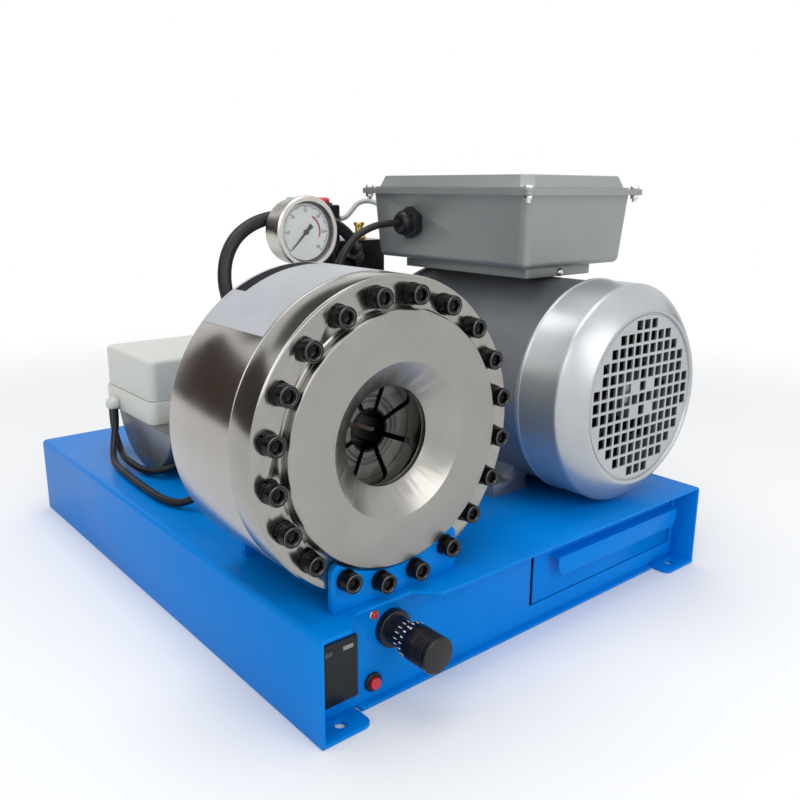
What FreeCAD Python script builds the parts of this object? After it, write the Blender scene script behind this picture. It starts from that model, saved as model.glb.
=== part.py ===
import FreeCAD, Part
import math
import os

# Hose crimping machine on a sheet-metal base, millimetres, +Z up.
# Origin: centre of the four foot holes, on the floor. X runs right along the
# front, Y runs to the back. The crimping head stands front left, the motor
# front right, the hydraulic pieces behind them.

V = FreeCAD.Vector
os.makedirs("parts", exist_ok=True)

# Base: one bent sheet with recessed front and rear panels
BASE_W = 500.0
BASE_D = 620.0
BASE_H = 90.0
SHEET = 3.0
BEND_R = 5.0
FOOT_X = BASE_W - 52.0
FOOT_Y = BASE_D - 28.0
FOOT_HOLE_R = 4.5
EAR_W = 48.0
PANEL_RECESS = 26.0
EAR_D = PANEL_RECESS
PANEL_HEM = 7.0
NOTCH_X = 72.0
NOTCH_W = 89.0
NOTCH_D = 17.0
NOTCH_SLOPE = 17.0
TOP_Z = BASE_H
TOP_UNDER_Z = BASE_H - SHEET
PANEL_FRONT_Y = -BASE_D / 2 + PANEL_RECESS
PANEL_BACK_Y = PANEL_FRONT_Y + SHEET

# Drawer in the right half of the front panel
DRAWER_X = BASE_W / 2 - 127.0
DRAWER_W = 226.0
DRAWER_DEPTH = 380.0
DRAWER_Z = 20.0
DRAWER_H = 62.0
DRAWER_SHEET = 1.5
DRAWER_SIDE_GAP = 4.0
DRAWER_RUN_GAP = 0.3
RUNNER_W = 32.0
RUNNER_SHELF = 12.0
HANDLE_X = DRAWER_X + 9.0
HANDLE_W = 199.0
HANDLE_OUT = 12.0
HANDLE_TOP_Z = 65.0
HANDLE_DROP = 20.0
HANDLE_CHAMFER = 9.0

# Crimping head, turned parts on one axis along Y
HEAD_X = -BASE_W / 2 + 92.0
HEAD_Z = 216.0
HEAD_R = 126.0
FLANGE_Y = -279.0
FLANGE_T = 30.0
BODY_LEN = 95.0
NOSE_R = 101.0
NOSE_T = 10.0
NOSE_FOOT = 2.0
NOSE_GROOVE = 0.9
SPIGOT_R = 70.0
SPIGOT_T = 12.0
SPIGOT_FIT = 0.05
FUNNEL_R = 62.0
FUNNEL_DEPTH = 17.5
THROAT_R = 40.0
BORE_R = 98.0
BACK_WALL = 17.0
TUBE_R = 52.0
TUBE_WALL = 10.0
EDGE_CHAMFER = 1.5
SCREW_COUNT = 20
SCREW_PCD_R = 112.0
SCREW_PHASE = 8.8
SCREW_R = 5.0
SCREW_HOLE_R = 5.5
SCREW_FIT = 0.05
SCREW_HEAD_R = 8.0
SCREW_HEAD_H = 10.0
SCREW_HEX = 8.0
SCREW_HEX_DEPTH = 5.0
SCREW_BITE = 24.0
WASHER_R = 8.6
WASHER_T = 2.2
CRADLE_SCREWS = (13, 14, 15, 16)

# Bracket plates that hold the head on the base
BRACKET_W = 127.0
BRACKET_T = 6.0
BRACKET_H = 40.0
BRACKET_CORNER = 8.0
BRACKET_ARC_GAP = 2.8

# Dies: eight segments driven inwards by the ram's tapered facets
DIE_COUNT = 8
DIE_BORE_R = 16.0
DIE_GAP = 4.0
DIE_LEN = 42.0
DIE_FACE_GAP = 0.3
FACET_SLOPE = 15.0
FACET_FRONT = 82.0
FACET_GAP = 0.15
DIE_STEP_R = (23.6, 27.4)
DIE_STEP_W = 1.2
DIE_STEP_D = 0.8
RAM_TRAVEL = 18.5
RAM_FRONT_GAP = 1.5
RAM_WEB = 12.0
RAM_FIT = 0.05
RAM_CLEAR = 0.5
PORT_DX = 66.0
PORT_DZ = 53.0
PORT_R = 8.0

# Motor, axis along Y, fan end at the front
MOTOR_X = BASE_W / 2 - 105.0
MOTOR_Z = 204.0
MOTOR_R = 108.0
COVER_R = 110.5
COVER_WALL = 2.0
COVER_FACE_Y = -299.0
COVER_SEAM_Y = -229.0
COVER_SHOULDER = 24.5
GRILLE_R = 84.0
GRILLE_RECESS = 2.0
GRILLE_LIP = 5.0
SHOULDER_CROWN = 1.4
GRILLE_PITCH = 10.35
GRILLE_HOLE = 8.2
GRILLE_ROWS = 6
GRILLE_REACH = 6.2
SEAM_BEAD = 1.3
MOTOR_BACK_Y = -10.0
COVER_LAP = 12.0
COVER_FIT = 0.05
SHAFT_R = 12.0
SHAFT_FIT = 0.05
FAN_R = 82.0
FAN_HUB_R = 24.0
FAN_BLADES = 8
FAN_LEN = 34.0
FAN_Y = -280.0
SHIELD_T = 20.0
BELL_R = 62.0
BELL_LEN = 30.0
PUMP_W = 108.0
PUMP_H = 104.0
PUMP_LEN = 90.0
MOTOR_FOOT_IN = 46.0
MOTOR_FOOT_OUT = 96.0
MOTOR_FOOT_Y = -192.0
MOTOR_FOOT_LEN = 152.0
MOTOR_FOOT_T = 14.0
FOOT_BOLT_X = 84.0
FOOT_BOLT_INSET = 20.0
FOOT_BOLT_HEX = 16.0
FOOT_BOLT_HEAD = 6.4
FOOT_BOLT_NUT = 8.0
FOOT_BOLT_TIP = 2.0

# Terminal box on the motor
TBOX_X = MOTOR_X + 1.0
TBOX_Y = -90.0
TBOX_TOP_W = 166.0
TBOX_TOP_L = 240.0
TBOX_RIM = 8.5
TBOX_RIM_W = TBOX_TOP_W + 2 * TBOX_RIM
TBOX_RIM_L = TBOX_TOP_L + 2 * TBOX_RIM
TBOX_TAPER = 5.0
TBOX_BOTTOM_Z = 326.0
TBOX_RIM_Z = 397.0
TBOX_RIM_T = 3.0
TBOX_WALL = 3.0
TBOX_CORNER = 10.0
TBOX_LOW_R = 7.0
TBOX_RIM_CORNER = 4.0
LID_RIM_T = 3.0
LID_H = 13.5
LID_STEP = 1.6
LID_DRAFT = 5.0
LID_TOP_R = 2.5
LID_SCREW_R = 2.5
LID_HEAD_R = 5.0
LID_HEAD_H = 3.5
LID_NUT = 8.0
LID_NUT_H = 4.0
LID_SCREW_INSET = 6.8
SADDLE_W = 104.0
SADDLE_L = 190.0
SADDLE_T = 12.0
SADDLE_NECK = 30.0
GLAND_Y = -42.0
GLAND_Z = 366.0
GLAND_HEX = 30.0
GLAND_NUT = 9.0
GLAND_LEN = 21.0
REAR_GLAND_X = MOTOR_X - 40.0
REAR_GLAND_Z = 378.0
REAR_GLAND_HEX = 17.0
REAR_GLAND_LEN = 9.0
LEAD_D = 7.5

# Pressure gauge on a manifold behind the head
GAUGE_X = HEAD_X + 66.0
GAUGE_FRONT_Y = -70.0
GAUGE_Z = 361.0
GAUGE_R = 34.5
GAUGE_CASE_R = 31.5
GAUGE_DEPTH = 30.0
GAUGE_RIM = 5.0
GAUGE_DIAL_SINK = 7.0
GAUGE_LENS_T = 2.0
LENS_FIT = 0.05
GAUGE_SWEEP_START = 225.0
MANIFOLD_W = 44.0
MANIFOLD_D = 40.0
MANIFOLD_Y = -65.0
STEM_R = 6.5

# Valve block with its brass fitting and the push-button station
BLOCK_W = 76.0
BLOCK_D = 70.0
BLOCK_Z = 160.0
BLOCK_TOP_Z = 343.0
BRASS_DX = 49.0
BRASS_DY = 16.0
STATION_W = 70.0
STATION_D = 36.0
STATION_H = 40.0
STATION_X = MOTOR_X - 129.0
BUTTON_SPACING = 40.0
BUTTON_R = 9.0
BUTTON_COLLAR_R = 12.0
BUTTON_H = 8.0
BUTTON_TRAVEL = 3.0
BUTTON_FIT = 0.1
STATION_COLLAR_RISE = 23.0
HOSE_END_DROP = 10.0

# Control box on a half-round oil tank
CBOX_X = -BASE_W / 2 + 58.0
CBOX_Y = 100.0
CBOX_W = 140.0
CBOX_D = 133.0
CBOX_RIM_H = 26.0
CBOX_LID_H = 47.0
CBOX_LIP = 2.0
CBOX_CORNER = 10.0
CBOX_WALL = 3.0
CBOX_GLAND_Y = 196.0
CBOX_GLAND_Z = 151.0
CBOX_GLAND_R = 8.5
TANK_X = CBOX_X + 2.0
TANK_LEN = 150.0
TANK_Y = 127.0
TANK_R = 75.0
TANK_TOP_Z = 145.0

# Controls on the front panel
DISPLAY_W = 33.0
DISPLAY_X = -BASE_W / 2 + SHEET + 15.0 + DISPLAY_W / 2
DISPLAY_Z = 13.0
DISPLAY_H = 54.0
DISPLAY_PROUD = 2.0
DISPLAY_BODY = 32.0
LAMP_X = -BASE_W / 2 + 68.0
LAMP_Z = 77.0
LAMP_R = 3.0
LAMP_BEZEL_R = 4.2
PUSH_X = -BASE_W / 2 + 67.0
PUSH_Z = 17.5
PUSH_CAP_R = 5.0
PUSH_RING_R = 8.0
PUSH_TRAVEL = 2.5
DIAL_X = -BASE_W / 2 + 86.0
DIAL_Z = 60.0
DIAL_RING_R = 16.0
DIAL_RING_T = 7.0
DIAL_SLEEVE_R = 12.0
DIAL_SLEEVE_LEN = 30.0
THIMBLE_R = 15.0
THIMBLE_LEN = 34.0
THIMBLE_CAP = 10.0
THIMBLE_START = 24.0
THIMBLE_GROOVES = 4
DIAL_FIT = 0.1
SPINDLE_R = 4.0

# Cables and hose
GROMMET_R = 9.0
GROMMET_H = 3.0
SIGNAL_D = 8.0
STATION_LEAD_D = 6.0
HOSE_D = 13.0
HOSE_NUT = 22.0
AXES_APART = 303.0
STRETCH_FROM = 90.0
STRETCH_TO = 205.0


def across(d):
    """x at d right of the head's axis; the gap beside the motor takes up a wider base."""
    extra = MOTOR_X - HEAD_X - AXES_APART
    share = (d - STRETCH_FROM) / (STRETCH_TO - STRETCH_FROM)
    return HEAD_X + d + extra * min(max(share, 0.0), 1.0)


def spanned(points):
    return [(across(d), y, z) for d, y, z in points]


GROMMET_A = (across(58), 20.0)
GROMMET_B = (across(18), -110.0)
GROMMET_C = (across(118), -77.0)


def box(x0, y0, z0, x1, y1, z1):
    return Part.makeBox(x1 - x0, y1 - y0, z1 - z0, V(x0, y0, z0))


def rod(x, y, z, radius, length, axis=V(0, 1, 0)):
    return Part.makeCylinder(radius, length, V(x, y, z), axis)


def turned(profile, x, y, z):
    """Revolve (radius, distance back) points about an axis along Y."""
    corners = [V(r, u, 0) for r, u in profile]
    wire = Part.makePolygon(corners + corners[:1])
    solid = Part.Face(wire).revolve(V(0, 0, 0), V(0, 1, 0), 360)
    return solid.translated(V(x, y, z))


def prism_y(outline, y0, length):
    """Extrude an (x, z) outline along Y."""
    corners = [V(x, y0, z) for x, z in outline]
    wire = Part.makePolygon(corners + corners[:1])
    return Part.Face(wire).extrude(V(0, length, 0))


def prism_z(outline, z0, height):
    """Extrude an (x, y) outline along Z."""
    corners = [V(x, y, z0) for x, y in outline]
    wire = Part.makePolygon(corners + corners[:1])
    return Part.Face(wire).extrude(V(0, 0, height))


def hex_y(x, y, z, across_flats, length):
    outline = []
    for k in range(6):
        a = math.radians(60 * k + 30)
        r = across_flats / math.sqrt(3)
        outline.append((x + r * math.cos(a), z + r * math.sin(a)))
    return prism_y(outline, y, length)


def hex_bar(start, direction, across_flats, length):
    """Hexagonal bar from a point along any direction."""
    bar = hex_y(0, 0, 0, across_flats, length)
    turn = FreeCAD.Rotation(V(0, 1, 0), direction)
    bar.rotate(V(0, 0, 0), turn.Axis, math.degrees(turn.Angle))
    return bar.translated(start)


def edges_along(shape, axis, at=None):
    """Straight edges along one axis, or those whose middle passes a test."""
    found = []
    for e in shape.Edges:
        if e.Curve.TypeId != "Part::GeomLine":
            continue
        d = e.Vertexes[1].Point - e.Vertexes[0].Point
        if abs(abs(d.dot(axis)) - d.Length) > 1e-6 * max(d.Length, 1):
            continue
        if at is None or at(e.CenterOfMass):
            found.append(e)
    return found


def rounded_box(x0, y0, z0, x1, y1, z1, corner, top=0.0):
    b = box(x0, y0, z0, x1, y1, z1)
    b = b.makeFillet(corner, edges_along(b, V(0, 0, 1)))
    if top > 0:
        rim = [e for e in b.Edges if e.BoundBox.ZMin > z1 - 1e-6]
        b = b.makeFillet(top, rim)
    return b


def head_angle(k):
    return math.radians(SCREW_PHASE + 360.0 * k / SCREW_COUNT)


def screw_place(k):
    a = head_angle(k)
    return HEAD_X + SCREW_PCD_R * math.cos(a), HEAD_Z + SCREW_PCD_R * math.sin(a)


def cord_tube(points, diameter, label):
    """Straight runs joined by tangent arcs, swept with a round section."""
    pts = [V(*p) for p in points]
    edges = []
    start = pts[0]
    radii = []
    for i in range(1, len(pts) - 1):
        before = pts[i] - pts[i - 1]
        after = pts[i + 1] - pts[i]
        turn = before.getAngle(after)
        reach = 0.45 * min(before.Length, after.Length)
        radii.append(reach / math.tan(turn / 2))
        u = V(before).normalize()
        w = V(after).normalize()
        a = pts[i] - u * reach
        b = pts[i] + w * reach
        to_centre = (w - u).normalize()
        centre = pts[i] + to_centre * (radii[-1] / math.cos(turn / 2))
        middle = centre + (pts[i] - centre).normalize() * radii[-1]
        edges.append(Part.LineSegment(start, a).toShape())
        edges.append(Part.Arc(a, middle, b).toShape())
        start = b
    edges.append(Part.LineSegment(start, pts[-1]).toShape())
    path = Part.Wire(edges)
    section = Part.Wire(Part.makeCircle(diameter / 2, pts[0], pts[1] - pts[0]))
    tube = path.makePipeShell([section], True, False)
    area = math.pi * diameter * diameter / 4
    print(label, "radii", [round(r) for r in radii], "length", round(path.Length),
          "volume ratio", round(tube.Volume / (area * path.Length), 4))
    return tube


def save(name, shape):
    if not shape.isValid():
        print("not valid:", name)
    if len(shape.Solids) == 1:
        shape = shape.Solids[0]
    shape.exportStep("parts/" + name + ".step")


def base_shell():
    w = BASE_W / 2
    d = BASE_D / 2
    shell = box(-w, -d, 0, w, d, BASE_H)
    bends = edges_along(shell, V(0, 1, 0), lambda m: m.z > BASE_H - 1)
    shell = shell.makeFillet(BEND_R, bends)
    inside = box(-w + SHEET, -d - 1, -1, w - SHEET, d + 1, TOP_UNDER_Z)
    bends = edges_along(inside, V(0, 1, 0), lambda m: m.z > TOP_UNDER_Z - 1)
    shell = shell.cut(inside.makeFillet(BEND_R - SHEET, bends))
    for sx in (-1, 1):
        for sy in (-1, 1):
            x0, x1 = sorted((sx * (w - SHEET), sx * (w - EAR_W)))
            y0, y1 = sorted((sy * d, sy * (d - EAR_D)))
            ear = box(x0, y0, 0, x1, y1, SHEET)
            tip = edges_along(ear, V(0, 0, 1), lambda m: abs(m.x) < w - EAR_W + 1)
            shell = shell.fuse(ear.makeFillet(EAR_D * 0.3, tip))
            shell = shell.cut(rod(sx * FOOT_X / 2, sy * FOOT_Y / 2, -1, FOOT_HOLE_R,
                                  SHEET + 2, V(0, 0, 1)))
    x = -w + NOTCH_X
    half = NOTCH_W / 2
    notch = [(x - half, -d - 1), (x + half, -d - 1), (x + half, -d),
             (x + half - NOTCH_SLOPE, -d + NOTCH_D), (x - half + NOTCH_SLOPE, -d + NOTCH_D),
             (x - half, -d)]
    shell = shell.cut(prism_z(notch, TOP_UNDER_Z - 1, SHEET + 2))
    for gx, gy in (GROMMET_A, GROMMET_B, GROMMET_C):
        hole = rod(gx, gy, TOP_UNDER_Z - 1, GROMMET_R - 2, SHEET + 2, V(0, 0, 1))
        shell = shell.cut(hole)
    for x, y in foot_bolt_places():
        shell = shell.cut(rod(x, y, TOP_UNDER_Z - 1, SCREW_HOLE_R, SHEET + 2, V(0, 0, 1)))
    return shell.removeSplitter()


def panel_sheet(y):
    """Upright sheet that fits under the shell's bends."""
    w = BASE_W / 2 - SHEET
    sheet = box(-w, y, 0, w, y + SHEET, TOP_UNDER_Z)
    return sheet.makeFillet(BEND_R - SHEET + 0.5,
                            edges_along(sheet, V(0, 1, 0), lambda m: m.z > BASE_H / 2))


def front_panel():
    w = BASE_W / 2 - SHEET
    y = PANEL_FRONT_Y
    panel = panel_sheet(y)
    hem = box(-w + EAR_W, y - PANEL_HEM, 0, w - EAR_W, y, SHEET)
    panel = panel.fuse(hem)
    half = DRAWER_W / 2
    panel = panel.cut(box(DRAWER_X - half - DRAWER_SIDE_GAP, y - 1, DRAWER_Z - 1.5,
                          DRAWER_X + half + DRAWER_SIDE_GAP, y + SHEET + 1,
                          DRAWER_Z + DRAWER_H + 2.5))
    panel = panel.cut(box(DISPLAY_X - DISPLAY_W / 2 + 2, y - 1, DISPLAY_Z + 2,
                          DISPLAY_X + DISPLAY_W / 2 - 2, y + SHEET + 1,
                          DISPLAY_Z + DISPLAY_H - 2))
    for x, z, r in ((LAMP_X, LAMP_Z, LAMP_R), (PUSH_X, PUSH_Z, PUSH_CAP_R + 1),
                    (DIAL_X, DIAL_Z, SPINDLE_R + 4)):
        panel = panel.cut(rod(x, y - 1, z, r, SHEET + 2))
    return panel.removeSplitter()


def rear_panel():
    w = BASE_W / 2 - SHEET
    y = BASE_D / 2 - PANEL_RECESS
    panel = panel_sheet(y - SHEET)
    hem = box(-w + EAR_W, y, 0, w - EAR_W, y + PANEL_HEM, SHEET)
    return panel.fuse(hem).removeSplitter()


def drawer():
    half = DRAWER_W / 2
    x0 = DRAWER_X - half
    x1 = DRAWER_X + half
    y0 = PANEL_FRONT_Y
    z1 = DRAWER_Z + DRAWER_H
    t = DRAWER_SHEET
    front = box(x0, y0, DRAWER_Z, x1, y0 + t, z1)
    side = DRAWER_SIDE_GAP + RUNNER_W / 2
    tray = box(x0 + side, y0 + t, DRAWER_Z, x1 - side, y0 + DRAWER_DEPTH, z1 - 6)
    tray = tray.cut(box(x0 + side + t, y0, DRAWER_Z + t, x1 - side - t,
                        y0 + DRAWER_DEPTH - t, z1))
    hx0 = HANDLE_X - HANDLE_W / 2
    hx1 = HANDLE_X + HANDLE_W / 2
    top = box(hx0, y0 - HANDLE_OUT, HANDLE_TOP_Z - t, hx1, y0, HANDLE_TOP_Z)
    yo = y0 - HANDLE_OUT
    c = HANDLE_CHAMFER
    zb = HANDLE_TOP_Z - HANDLE_DROP
    lip = [(hx0, HANDLE_TOP_Z), (hx1, HANDLE_TOP_Z), (hx1, zb + c), (hx1 - c * 0.6, zb),
           (hx0 + c * 0.6, zb), (hx0, zb + c)]
    lip = prism_y(lip, yo, t)
    return front.fuse([tray, top, lip]).removeSplitter()


def drawer_runners():
    half = DRAWER_W / 2
    t = DRAWER_SHEET
    rails = []
    for s in (-1, 1):
        edge = DRAWER_X + s * (half - DRAWER_SIDE_GAP - RUNNER_W / 2 + DRAWER_RUN_GAP)
        web_x0, web_x1 = sorted((edge, edge + s * t))
        shelf_x0, shelf_x1 = sorted((edge + s * t, edge - s * RUNNER_SHELF))
        y0 = PANEL_BACK_Y + 1
        y1 = PANEL_FRONT_Y + DRAWER_DEPTH
        web = box(web_x0, y0, DRAWER_Z - DRAWER_RUN_GAP - t, web_x1, y1, TOP_UNDER_Z)
        shelf = box(shelf_x0, y0, DRAWER_Z - DRAWER_RUN_GAP - t, shelf_x1, y1,
                    DRAWER_Z - DRAWER_RUN_GAP)
        rails.append(web.fuse(shelf).removeSplitter())
    return Part.makeCompound(rails)


def bracket_plate(y, arc_r):
    w = BRACKET_W / 2
    plate = box(HEAD_X - w, y, TOP_Z, HEAD_X + w, y + BRACKET_T, TOP_Z + BRACKET_H)
    tops = edges_along(plate, V(0, 1, 0), lambda m: m.z > TOP_Z + BRACKET_H - 1)
    plate = plate.makeFillet(BRACKET_CORNER, tops)
    plate = plate.cut(rod(HEAD_X, y - 1, HEAD_Z, arc_r, BRACKET_T + 2))
    for k in CRADLE_SCREWS:
        x, z = screw_place(k)
        plate = plate.cut(rod(x, y - 1, z, SCREW_HOLE_R, BRACKET_T + 2))
    return plate


def cylinder_body():
    f = FLANGE_T
    back = f + BODY_LEN
    wall = back - BACK_WALL
    tube_in = TUBE_R - TUBE_WALL
    tube_start = f + DIE_FACE_GAP + DIE_LEN + 1.7
    c = EDGE_CHAMFER
    profile = [(tube_in, tube_start), (TUBE_R, tube_start), (TUBE_R, wall), (BORE_R, wall),
               (BORE_R, f), (HEAD_R - c / 2, f), (HEAD_R, f + c / 2), (HEAD_R, back - c),
               (HEAD_R - c, back), (tube_in, back)]
    body = turned(profile, HEAD_X, FLANGE_Y, HEAD_Z)
    cuts = []
    for k in range(SCREW_COUNT):
        x, z = screw_place(k)
        cuts.append(rod(x, FLANGE_Y + f - 1, z, SCREW_R + SCREW_FIT, SCREW_BITE + 4))
    for k in CRADLE_SCREWS:
        x, z = screw_place(k)
        cuts.append(rod(x, FLANGE_Y + back - BACK_WALL, z, SCREW_R + SCREW_FIT,
                        BACK_WALL + 1))
    cuts.append(rod(HEAD_X + PORT_DX, FLANGE_Y + wall - 1, HEAD_Z + PORT_DZ,
                    PORT_R + SCREW_FIT, BACK_WALL + 2))
    return body.cut(cuts)


def front_flange():
    c = EDGE_CHAMFER
    profile = [(SPIGOT_R + SPIGOT_FIT, 0), (HEAD_R - c, 0), (HEAD_R, c),
               (HEAD_R, FLANGE_T - c / 2), (HEAD_R - c / 2, FLANGE_T), (THROAT_R, FLANGE_T),
               (THROAT_R, SPIGOT_T), (SPIGOT_R + SPIGOT_FIT, SPIGOT_T)]
    flange = turned(profile, HEAD_X, FLANGE_Y, HEAD_Z)
    holes = []
    for k in range(SCREW_COUNT):
        x, z = screw_place(k)
        holes.append(rod(x, FLANGE_Y - 1, z, SCREW_HOLE_R, FLANGE_T + 2))
    return flange.cut(holes)


def nose_ring():
    foot = NOSE_FOOT
    groove = NOSE_GROOVE
    profile = [(FUNNEL_R, -NOSE_T), (NOSE_R - 1, -NOSE_T), (NOSE_R, 1 - NOSE_T),
               (NOSE_R, -foot - 2 * groove), (NOSE_R - groove, -foot - 2 * groove),
               (NOSE_R - groove, -foot - groove), (NOSE_R, -foot - groove), (NOSE_R, -foot),
               (NOSE_R + foot * 0.29, -foot * 0.29), (NOSE_R + foot, 0), (SPIGOT_R, 0),
               (SPIGOT_R, SPIGOT_T), (THROAT_R, SPIGOT_T),
               (THROAT_R, FUNNEL_DEPTH - NOSE_T)]
    return turned(profile, HEAD_X, FLANGE_Y, HEAD_Z)


def facet_reach(back):
    """Distance from the axis to a die's outer facet, at a distance behind the die face."""
    return FACET_FRONT - back * math.tan(math.radians(FACET_SLOPE))


def octagon(apothem, y):
    r = apothem / math.cos(math.pi / DIE_COUNT)
    corners = []
    for k in range(DIE_COUNT):
        a = math.radians(360.0 / DIE_COUNT * (k + 0.5))
        corners.append(V(HEAD_X + r * math.cos(a), y, HEAD_Z + r * math.sin(a)))
    return Part.makePolygon(corners + corners[:1])


def ram_piston():
    die_face = FLANGE_T + DIE_FACE_GAP
    front = FLANGE_T + RAM_FRONT_GAP + RAM_TRAVEL
    web = die_face + DIE_LEN + RAM_CLEAR + RAM_TRAVEL
    back = web + RAM_WEB
    bore = TUBE_R + RAM_FIT
    profile = [(bore, front), (BORE_R - RAM_FIT, front), (BORE_R - RAM_FIT, back), (bore, back)]
    ring = turned(profile, HEAD_X, FLANGE_Y, HEAD_Z)
    gap = FACET_GAP / math.cos(math.radians(FACET_SLOPE))
    mouth = octagon(facet_reach(front - 1 - die_face) + gap, FLANGE_Y + front - 1)
    end = octagon(facet_reach(web - die_face) + gap, FLANGE_Y + web)
    return ring.cut(Part.makeLoft([mouth, end], True, True))


def die(k):
    y0 = FLANGE_Y + FLANGE_T + DIE_FACE_GAP
    half = math.pi / DIE_COUNT
    tip = DIE_GAP / 2 / math.sin(half)
    reach = facet_reach(0)
    side = [V(DIE_BORE_R - 4, 0, 0), V(reach, 0, 0), V(facet_reach(DIE_LEN), DIE_LEN, 0),
            V(DIE_BORE_R - 4, DIE_LEN, 0)]
    block = Part.Face(Part.makePolygon(side + side[:1])).extrude(V(0, 0, 2 * reach))
    block.translate(V(0, 0, -reach))
    spread = 2 * reach * math.tan(half)
    wedge = prism_y([(tip, 0), (tip + 2 * reach, spread), (tip + 2 * reach, -spread)],
                    -1, DIE_LEN + 2)
    segment = block.common(wedge).cut(rod(0, -1, 0, DIE_BORE_R, DIE_LEN + 2))
    for r in DIE_STEP_R:
        groove = rod(0, -1, 0, r + DIE_STEP_W, 1 + DIE_STEP_D)
        segment = segment.cut(groove.cut(rod(0, -2, 0, r, 3 + DIE_STEP_D)))
    segment.rotate(V(0, 0, 0), V(0, -1, 0), 360.0 / DIE_COUNT * k)
    return segment.translated(V(HEAD_X, y0, HEAD_Z))


def socket_screw(x, y, z, grip, facing=1):
    """Socket screw whose head seats at y; facing 1 points the head to the front."""
    shank = rod(0, 0, 0, SCREW_R, grip)
    head = rod(0, -SCREW_HEAD_H, 0, SCREW_HEAD_R, SCREW_HEAD_H)
    rim = [e for e in head.Edges if e.BoundBox.YMax < -SCREW_HEAD_H + 1e-6]
    head = head.makeChamfer(0.8, rim)
    head = head.cut(hex_y(0, -SCREW_HEAD_H - 1, 0, SCREW_HEX, SCREW_HEX_DEPTH + 1))
    screw = shank.fuse(head).removeSplitter()
    if facing < 0:
        screw.rotate(V(0, 0, 0), V(0, 0, 1), 180)
    return screw.translated(V(x, y, z))


def flange_screws():
    screws = []
    for k in range(SCREW_COUNT):
        x, z = screw_place(k)
        extra = BRACKET_T if k in CRADLE_SCREWS else 0
        seat = FLANGE_Y - extra - WASHER_T
        screws.append(socket_screw(x, seat, z, WASHER_T + extra + FLANGE_T + SCREW_BITE))
    back = FLANGE_Y + FLANGE_T + BODY_LEN + BRACKET_T
    for k in CRADLE_SCREWS:
        x, z = screw_place(k)
        screws.append(socket_screw(x, back, z, BRACKET_T + BACK_WALL - 3, -1))
    return Part.makeCompound(screws)


def spring_washers():
    rings = []
    for k in range(SCREW_COUNT):
        x, z = screw_place(k)
        extra = BRACKET_T if k in CRADLE_SCREWS else 0
        ring = rod(x, FLANGE_Y - extra - WASHER_T, z, WASHER_R, WASHER_T)
        ring = ring.cut(rod(x, FLANGE_Y - extra - WASHER_T - 1, z, SCREW_R + 0.1,
                            WASHER_T + 2))
        rings.append(ring)
    return Part.makeCompound(rings)


def foot_bolt_places():
    places = []
    for s in (-1, 1):
        for y in (MOTOR_FOOT_Y + FOOT_BOLT_INSET,
                  MOTOR_FOOT_Y + MOTOR_FOOT_LEN - FOOT_BOLT_INSET):
            places.append((MOTOR_X + s * FOOT_BOLT_X, y))
    return places


def motor_housing():
    front = COVER_SEAM_Y
    length = MOTOR_BACK_Y - front
    shell = rod(MOTOR_X, front, MOTOR_Z, MOTOR_R, length)
    spigot = rod(MOTOR_X, front - COVER_LAP, MOTOR_Z, COVER_R - COVER_WALL - COVER_FIT,
                 COVER_LAP)
    shell = shell.fuse(spigot)
    for s in (-1, 1):
        inner = MOTOR_X + s * MOTOR_FOOT_IN
        outer = MOTOR_X + s * MOTOR_FOOT_OUT
        outline = [(inner, TOP_Z), (outer, TOP_Z), (outer, TOP_Z + MOTOR_FOOT_T),
                   (MOTOR_X + s * (MOTOR_FOOT_OUT - 26), TOP_Z + MOTOR_FOOT_T),
                   (MOTOR_X + s * (MOTOR_FOOT_IN + 18), TOP_Z + 46), (inner, TOP_Z + 46)]
        foot = prism_y(outline, MOTOR_FOOT_Y, MOTOR_FOOT_LEN)
        shell = shell.fuse(foot)
    for x, y in foot_bolt_places():
        shell = shell.cut(rod(x, y, TOP_Z - 1, SCREW_HOLE_R, MOTOR_FOOT_T + 2, V(0, 0, 1)))
    shell = shell.cut(rod(MOTOR_X, front - COVER_LAP - 1, MOTOR_Z, SHAFT_R + SHAFT_FIT,
                          length + COVER_LAP + 2))
    return shell.removeSplitter()


def drive_end_shield():
    r = MOTOR_R + 2
    profile = [(SHAFT_R + SHAFT_FIT, 0), (r, 0), (r, SHIELD_T * 0.4), (r * 0.82, SHIELD_T),
               (SHAFT_R + SHAFT_FIT, SHIELD_T)]
    return turned(profile, MOTOR_X, MOTOR_BACK_Y, MOTOR_Z)


def fan_cover():
    length = COVER_SEAM_Y - COVER_FACE_Y
    t = COVER_WALL
    r = COVER_R
    s = COVER_SHOULDER
    lip = GRILLE_R + GRILLE_LIP
    crown = (r + lip) / 2 + SHOULDER_CROWN
    sink = GRILLE_RECESS
    bead = SEAM_BEAD
    profile = [(0, sink), (GRILLE_R, sink), (GRILLE_R + 1, 0), (lip - 1, 0), (lip, 0.8),
               (crown, s / 2 - SHOULDER_CROWN), (r - 0.6, s - 1), (r, s), (r, length - 4 * bead),
               (r + bead, length - 3 * bead), (r + bead, length - bead), (r, length),
               (r - t, length), (r - t, s + 1), (crown - t, s / 2), (lip - t, t + 0.8),
               (GRILLE_R, sink + t), (0, sink + t)]
    cover = turned(profile, MOTOR_X, COVER_FACE_Y, MOTOR_Z)
    h = GRILLE_HOLE / 2
    holes = []
    for i in range(-GRILLE_ROWS, GRILLE_ROWS + 1):
        for j in range(-GRILLE_ROWS, GRILLE_ROWS + 1):
            if math.hypot(i, j) > GRILLE_REACH or (abs(i), abs(j)) == (1, 1):
                continue
            x = MOTOR_X + i * GRILLE_PITCH
            z = MOTOR_Z + j * GRILLE_PITCH
            holes.append(box(x - h, COVER_FACE_Y, z - h, x + h, COVER_FACE_Y + sink + t + 1,
                             z + h))
    return cover.cut(holes)


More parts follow.
